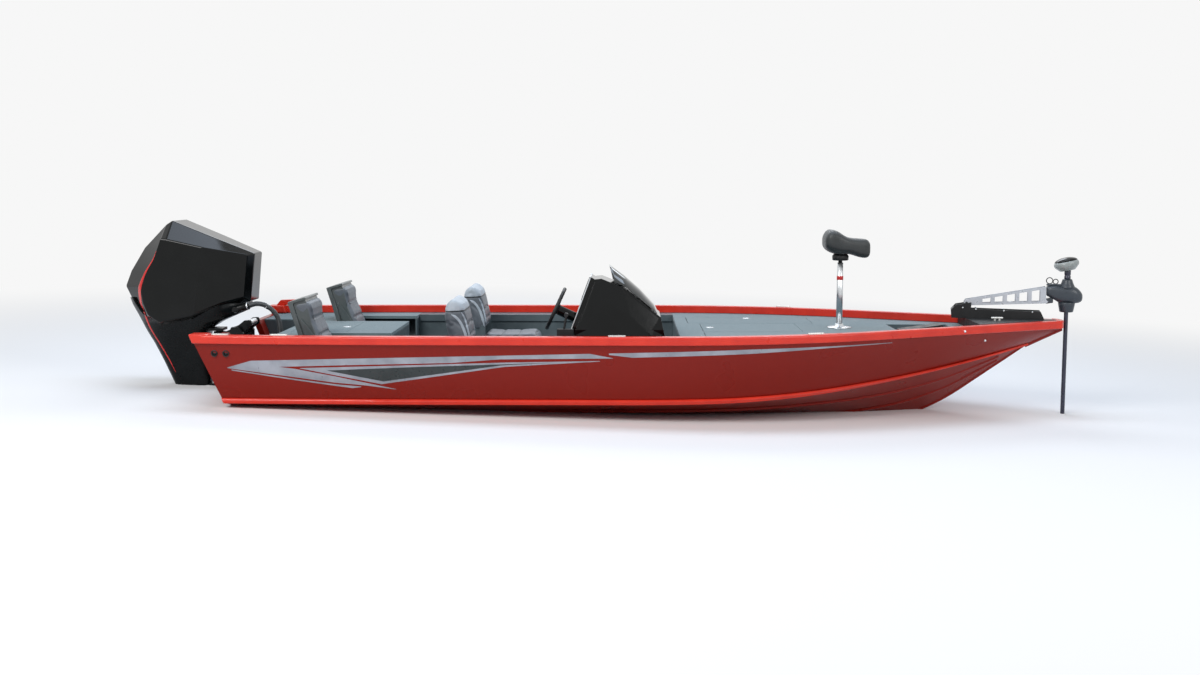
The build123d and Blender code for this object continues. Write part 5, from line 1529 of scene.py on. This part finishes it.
saddle = make_saddle()
spider = turned_form(
    "saddle_spider", [(0.4, 14), (0.8, 15), (16, 15.5), (16.5, 54), (19, 60), (50, 62), (70, 45)],
    mm(POLE_X, 0, 1052), 32,
)
finished(spider, "bow_seat", BLACK_PLASTIC)
finished(saddle, "bow_seat", VINYL_BLACK, ("bow_seat",))


def make_pole():
    parts = [
        turned_form(
            "pole_foot", [(0, 88), (4, 90), (7.5, 86), (8, 50), (12, 34), (30, 30), (33, 25)],
            mm(POLE_X, 0, 556), 48,
        ),
        turned_form(
            "pole_tube", [(8, 23.8), (360, 23.8), (362, 22.5), (494, 22.5), (496, 18)], mm(POLE_X, 0, 556), 40,
        ),
    ]
    for angle in range(0, 360, 60):
        at = mm(POLE_X + 72 * cos(radians(angle)), 72 * sin(radians(angle)), 564)
        parts.append(turned_form(f"pole_screw_{angle}", [(0, 6), (2, 5.5), (2.8, 3), (3, 0)], at, 12))
    finished(joined("seat_pole_tube", parts), "hull", METAL, ("seat_pole",))
    band = turned_form("pole_red_band", [(0, 23.8), (1, 24.6), (29, 24.6), (30, 23.8)], mm(POLE_X, 0, 921), 40)
    finished(band, "hull", RED_ACCENT)


make_pole()

# Bow motor: in its own frame, x forward from the shaft, y across and z up

BOW = Matrix.Translation(mm(3182, 30, 0)) @ Matrix.Rotation(radians(-12), 4, "Z")


def at_bow(piece, body, material, nodes=()):
    piece.data.transform(BOW)
    return finished(piece, body, material, nodes)


def make_bow_motor():
    sections = []
    for x, half, low, high in (
        (-148, 42, 801, 866), (-144, 46, 796, 870), (-110, 52, 780, 874), (-66, 60, 752, 878),
        (-30, 64, 744.5, 878.5), (10, 66, 744, 878), (44, 65, 744, 874), (68, 59, 745, 863), (88, 49, 749, 846),
        (101, 37, 756, 831), (109, 24, 765, 818), (113, 9, 778, 806),
    ):
        centre, reach = (low + high) / 2, (high - low) / 2
        ring = superellipse(2 / (3.6 if x < -40 else 2.6), 40)
        sections.append([mm(x, half * c, centre + reach * s) for c, s in ring])
    head = sharp_edges(loft("motor_head", sections), 60)
    cup = turned_form(
        "motor_cup", [(0, 16.8), (0, 60), (5, 62.5), (30, 58.5), (66, 51.5), (73, 49.5), (76, 45), (76, 16.8)],
        mm(0, 0, 752), 48, (0, 0, -1), hollow=True,
    )
    neck = turned_form(
        "motor_neck",
        [(-10, 16.8), (-10, 60), (4, 56), (16, 50), (30, 44), (50, 37.5), (57, 35), (60, 31), (60, 16.8)],
        mm(0, 0, 866), 48, hollow=True,
    )
    tongue_side = ((-168, 750), (-168, 772), (-100, 786), (-100, 746), (-150, 738))
    tongue = soft_prism("motor_tongue", [mm(x, -33, z) for x, z in tongue_side], mm(0, 66, 0), 0.004)
    plate = soft_box("motor_cable_plate", (-150, -22, 874), (-40, 22, 888), 0.005, 3)
    at_bow(
        joined("bow_motor_housing", [head, cup, neck, tongue, plate]), "bow_motor_head", BOW_PLASTIC,
        ("bow_motor_head",),
    )
    guides = []
    for x, z, radius in ((-128, 912, 23), (-84, 906, 18)):
        angles = [2 * pi * i / 32 for i in range(32)]
        ring = [mm(x + radius * cos(t), 0, z + radius * sin(t)) for t in angles]
        guides.append(tube_mesh("cable_guide", ring, 0.0035, 10, True))
    at_bow(joined("bow_motor_cable_guides", guides), "bow_motor_head", BLACK_PLASTIC)

    shaft = turned_form("shaft_tube", [(-545, 15.5), (-540, 16), (1000, 16), (1010, 15.5)], (0, 0, 0), 28)
    collar = turned_form(
        "shaft_collar",
        [
            (926.3, 17), (926.3, 22), (929, 24), (948, 24), (950, 21.5), (958, 21.5), (960, 24), (992, 24),
            (996, 21),
        ],
        (0, 0, 0), 36,
    )
    pod = turned_form(
        "motor_pod",
        [
            (0, 36), (4, 40), (30, 41.5), (32, 40.5), (36, 40.5), (38, 42), (300, 47.2), (340, 48), (365, 44.5),
            (390, 36), (405, 24), (413, 12), (415, 0),
        ],
        mm(-190, 0, -545), 44, (1, 0, 0),
    )
    skeg = loft("pod_skeg", [foil(*s) for s in ((-575, 40, -62, 5), (-640, 4, -64, 4.5), (-690, -22, -64, 3))])
    at_bow(
        joined("bow_motor_shaft_and_pod", [shaft, collar, pod, skeg]), "bow_motor_shaft", SHAFT_METAL,
        ("bow_motor_shaft",),
    )
    tilt = radians(12)
    puck_at, puck_up = mm(0, 0, 992), (-sin(tilt), 0, cos(tilt))
    body = [
        (0, 30), (1, 57), (10, 66), (20, 76), (30, 85.5), (40, 91), (52, 92.5), (64, 89.5), (70, 84), (71, 60),
    ]
    at_bow(
        turned_form("bow_puck_body", body, puck_at, 56, puck_up), "bow_motor_shaft", PUCK_GREY,
    )
    top = [(69, 60), (70, 83.5), (75, 83.5), (84, 74), (92, 56), (98, 32), (100, 0)]
    at_bow(
        turned_form("bow_puck_top", top, puck_at, 56, puck_up), "bow_motor_shaft", BLACK_GLOSS,
    )

    head_profile = [(-1, 6.2), (1.2, 6), (2.4, 4.5), (2.5, 2), (1, 1.8), (1, 0)]
    screws = []
    for x, z in ((-762, 700), (-664, 690), (-458, 682), (-250, 676)):
        for side in (-1, 1):
            screws.append(turned_form("base_screw", head_profile, mm(x, side * 70, z), 16, (0, side, 0)))
    at_bow(joined("bow_base_screws", screws), "hull", METAL)


make_bow_motor()
make_propeller(
    "pod_propeller", 3, ((14, 34, 7, 0), (60, 50, 5, 0), (105, 56, 4, 2), (140, 30, 2.5, 4)), 260, -34,
    [(0, 20), (0.3, 37), (8, 38), (30, 35.5), (50, 31), (58, 24), (63, 13), (64, 0)],
    BOW @ Matrix.Translation(mm(-190.3, 0, -545)), "bow_motor_propeller", BLACK_PLASTIC,
    "bow_motor_propeller",
)

# CAD nodes that stay

for node_name, material in (
    ("transom", RED), ("port_quarter_cap", BRIGHT_RED), ("deck_lockers", LINER), ("cockpit_floor", CARPET),
    ("cockpit_sides", LINER), ("bow_deck", CARPET), ("bow_bulkheads", LINER), ("bow_panel", BLACK_PLASTIC),
    ("pedal_tray", LINER), ("foot_pedal", BLACK_PLASTIC), ("rear_deck", CARPET), ("rear_bulkheads", LINER),
    ("splashwell", LINER), ("jump_seat_pans", LINER), ("helm_seat_boxes", LINER), ("console_body", BLACK_GLOSS),
    ("engine_control", BLACK_PLASTIC), ("clamp_brackets", ENGINE_BLACK), ("swivel_bracket", ENGINE_BLACK),
    ("engine_powerhead", BLACK_PLASTIC), ("engine_yoke", ENGINE_BLACK), ("bow_motor_base", BLACK_PLASTIC),
    ("bow_motor_arm", SILVER), ("lid_port_rod_locker", CARPET), ("lid_starboard_rod_locker", CARPET),
    ("lid_centre_storage", CARPET), ("lid_livewell", CARPET),
    ("gunwale_cleats", WHITE_METAL), ("steering_ram", METAL),
):
    dress_node(node_name, material)

# Floor in the water's plane, light and background


def seen_directly(nodes, links):
    """1 for rays from the camera, and for those that metal and glass send on."""
    path = nodes.new("ShaderNodeLightPath")
    share = path.outputs["Is Camera Ray"]
    for kind in ("Is Glossy Ray", "Is Transmission Ray"):
        more = nodes.new("ShaderNodeMath")
        more.operation = "MAXIMUM"
        links.new(share, more.inputs[0])
        links.new(path.outputs[kind], more.inputs[1])
        share = more.outputs["Value"]
    return share


PALE = (0.93, 0.93, 0.93, 1)
FLOOR_RADIUS, FLOOR_SIDES = 90, 96


def floor_material():
    material = bpy.data.materials.new("pale_floor")
    material.use_nodes = True
    nodes, links = material.node_tree.nodes, material.node_tree.links
    nodes.clear()
    output = nodes.new("ShaderNodeOutputMaterial")
    mix = nodes.new("ShaderNodeMixShader")
    diffuse = nodes.new("ShaderNodeBsdfDiffuse")
    diffuse.inputs["Color"].default_value = (0.88, 0.865, 0.84, 1)
    glow = nodes.new("ShaderNodeEmission")
    glow.inputs["Color"].default_value = PALE
    coords = nodes.new("ShaderNodeTexCoord")
    length = nodes.new("ShaderNodeVectorMath")
    length.operation = "LENGTH"
    far = nodes.new("ShaderNodeMapRange")
    far.interpolation_type = "SMOOTHSTEP"
    far.inputs["From Min"].default_value = 3.5
    far.inputs["From Max"].default_value = 11.0
    both = nodes.new("ShaderNodeMath")
    both.operation = "MULTIPLY"
    links.new(coords.outputs["Object"], length.inputs[0])
    links.new(length.outputs["Value"], far.inputs["Value"])
    links.new(far.outputs["Result"], both.inputs[0])
    links.new(seen_directly(nodes, links), both.inputs[1])
    links.new(both.outputs["Value"], mix.inputs["Fac"])
    links.new(diffuse.outputs["BSDF"], mix.inputs[1])
    links.new(glow.outputs["Emission"], mix.inputs[2])
    links.new(mix.outputs["Shader"], output.inputs["Surface"])
    return material


def make_floor():
    angles = [2 * pi * i / FLOOR_SIDES for i in range(FLOOR_SIDES)]
    verts = [(0, 0, 0)] + [(FLOOR_RADIUS * cos(a), FLOOR_RADIUS * sin(a), 0) for a in angles]
    floor = mesh_piece("floor", verts, [(0, 1 + i, 1 + (i + 1) % FLOOR_SIDES) for i in range(FLOOR_SIDES)])
    floor.rotation_euler = (0, WATER_TILT, 0)
    dressed(floor, floor_material())


make_floor()

world = bpy.data.worlds.new("studio")
scene.world = world
world.use_nodes = True
wn, wl = world.node_tree.nodes, world.node_tree.links
background = wn["Background"]
background.inputs["Color"].default_value = (0.42, 0.47, 0.56, 1)
background.inputs["Strength"].default_value = 0.6
seen_world = wn.new("ShaderNodeBackground")
seen_world.inputs["Color"].default_value = PALE
world_mix = wn.new("ShaderNodeMixShader")
wl.new(seen_directly(wn, wl), world_mix.inputs["Fac"])
wl.new(background.outputs["Background"], world_mix.inputs[1])
wl.new(seen_world.outputs["Background"], world_mix.inputs[2])
wl.new(world_mix.outputs["Shader"], wn["World Output"].inputs["Surface"])


def area_light(name, location, target, size, power, colour=(1, 1, 1)):
    data = bpy.data.lights.new(name, "AREA")
    data.color = colour
    data.shape = "RECTANGLE"
    data.size, data.size_y = size
    data.energy = power
    light = bpy.data.objects.new(name, data)
    light.location = location
    light.rotation_euler = (Vector(target) - Vector(location)).to_track_quat("-Z", "Y").to_euler()
    scene.collection.objects.link(light)


area_light("key_softbox", (-5.5, -8.0, 7.0), (0, 0, 0.3), (6, 4), 700)
area_light("fill_softbox", (7.0, -7.0, 5.0), (0.5, 0, 0.3), (5, 4), 280)
area_light("back_softbox", (0, 8.0, 7.0), (0, 0, 0.5), (9, 3), 380, (0.86, 0.92, 1.0))
area_light("top_softbox", (0, 0.6, 8.5), (0, 0, 0), (9, 3.4), 380, (0.72, 0.83, 1.0))
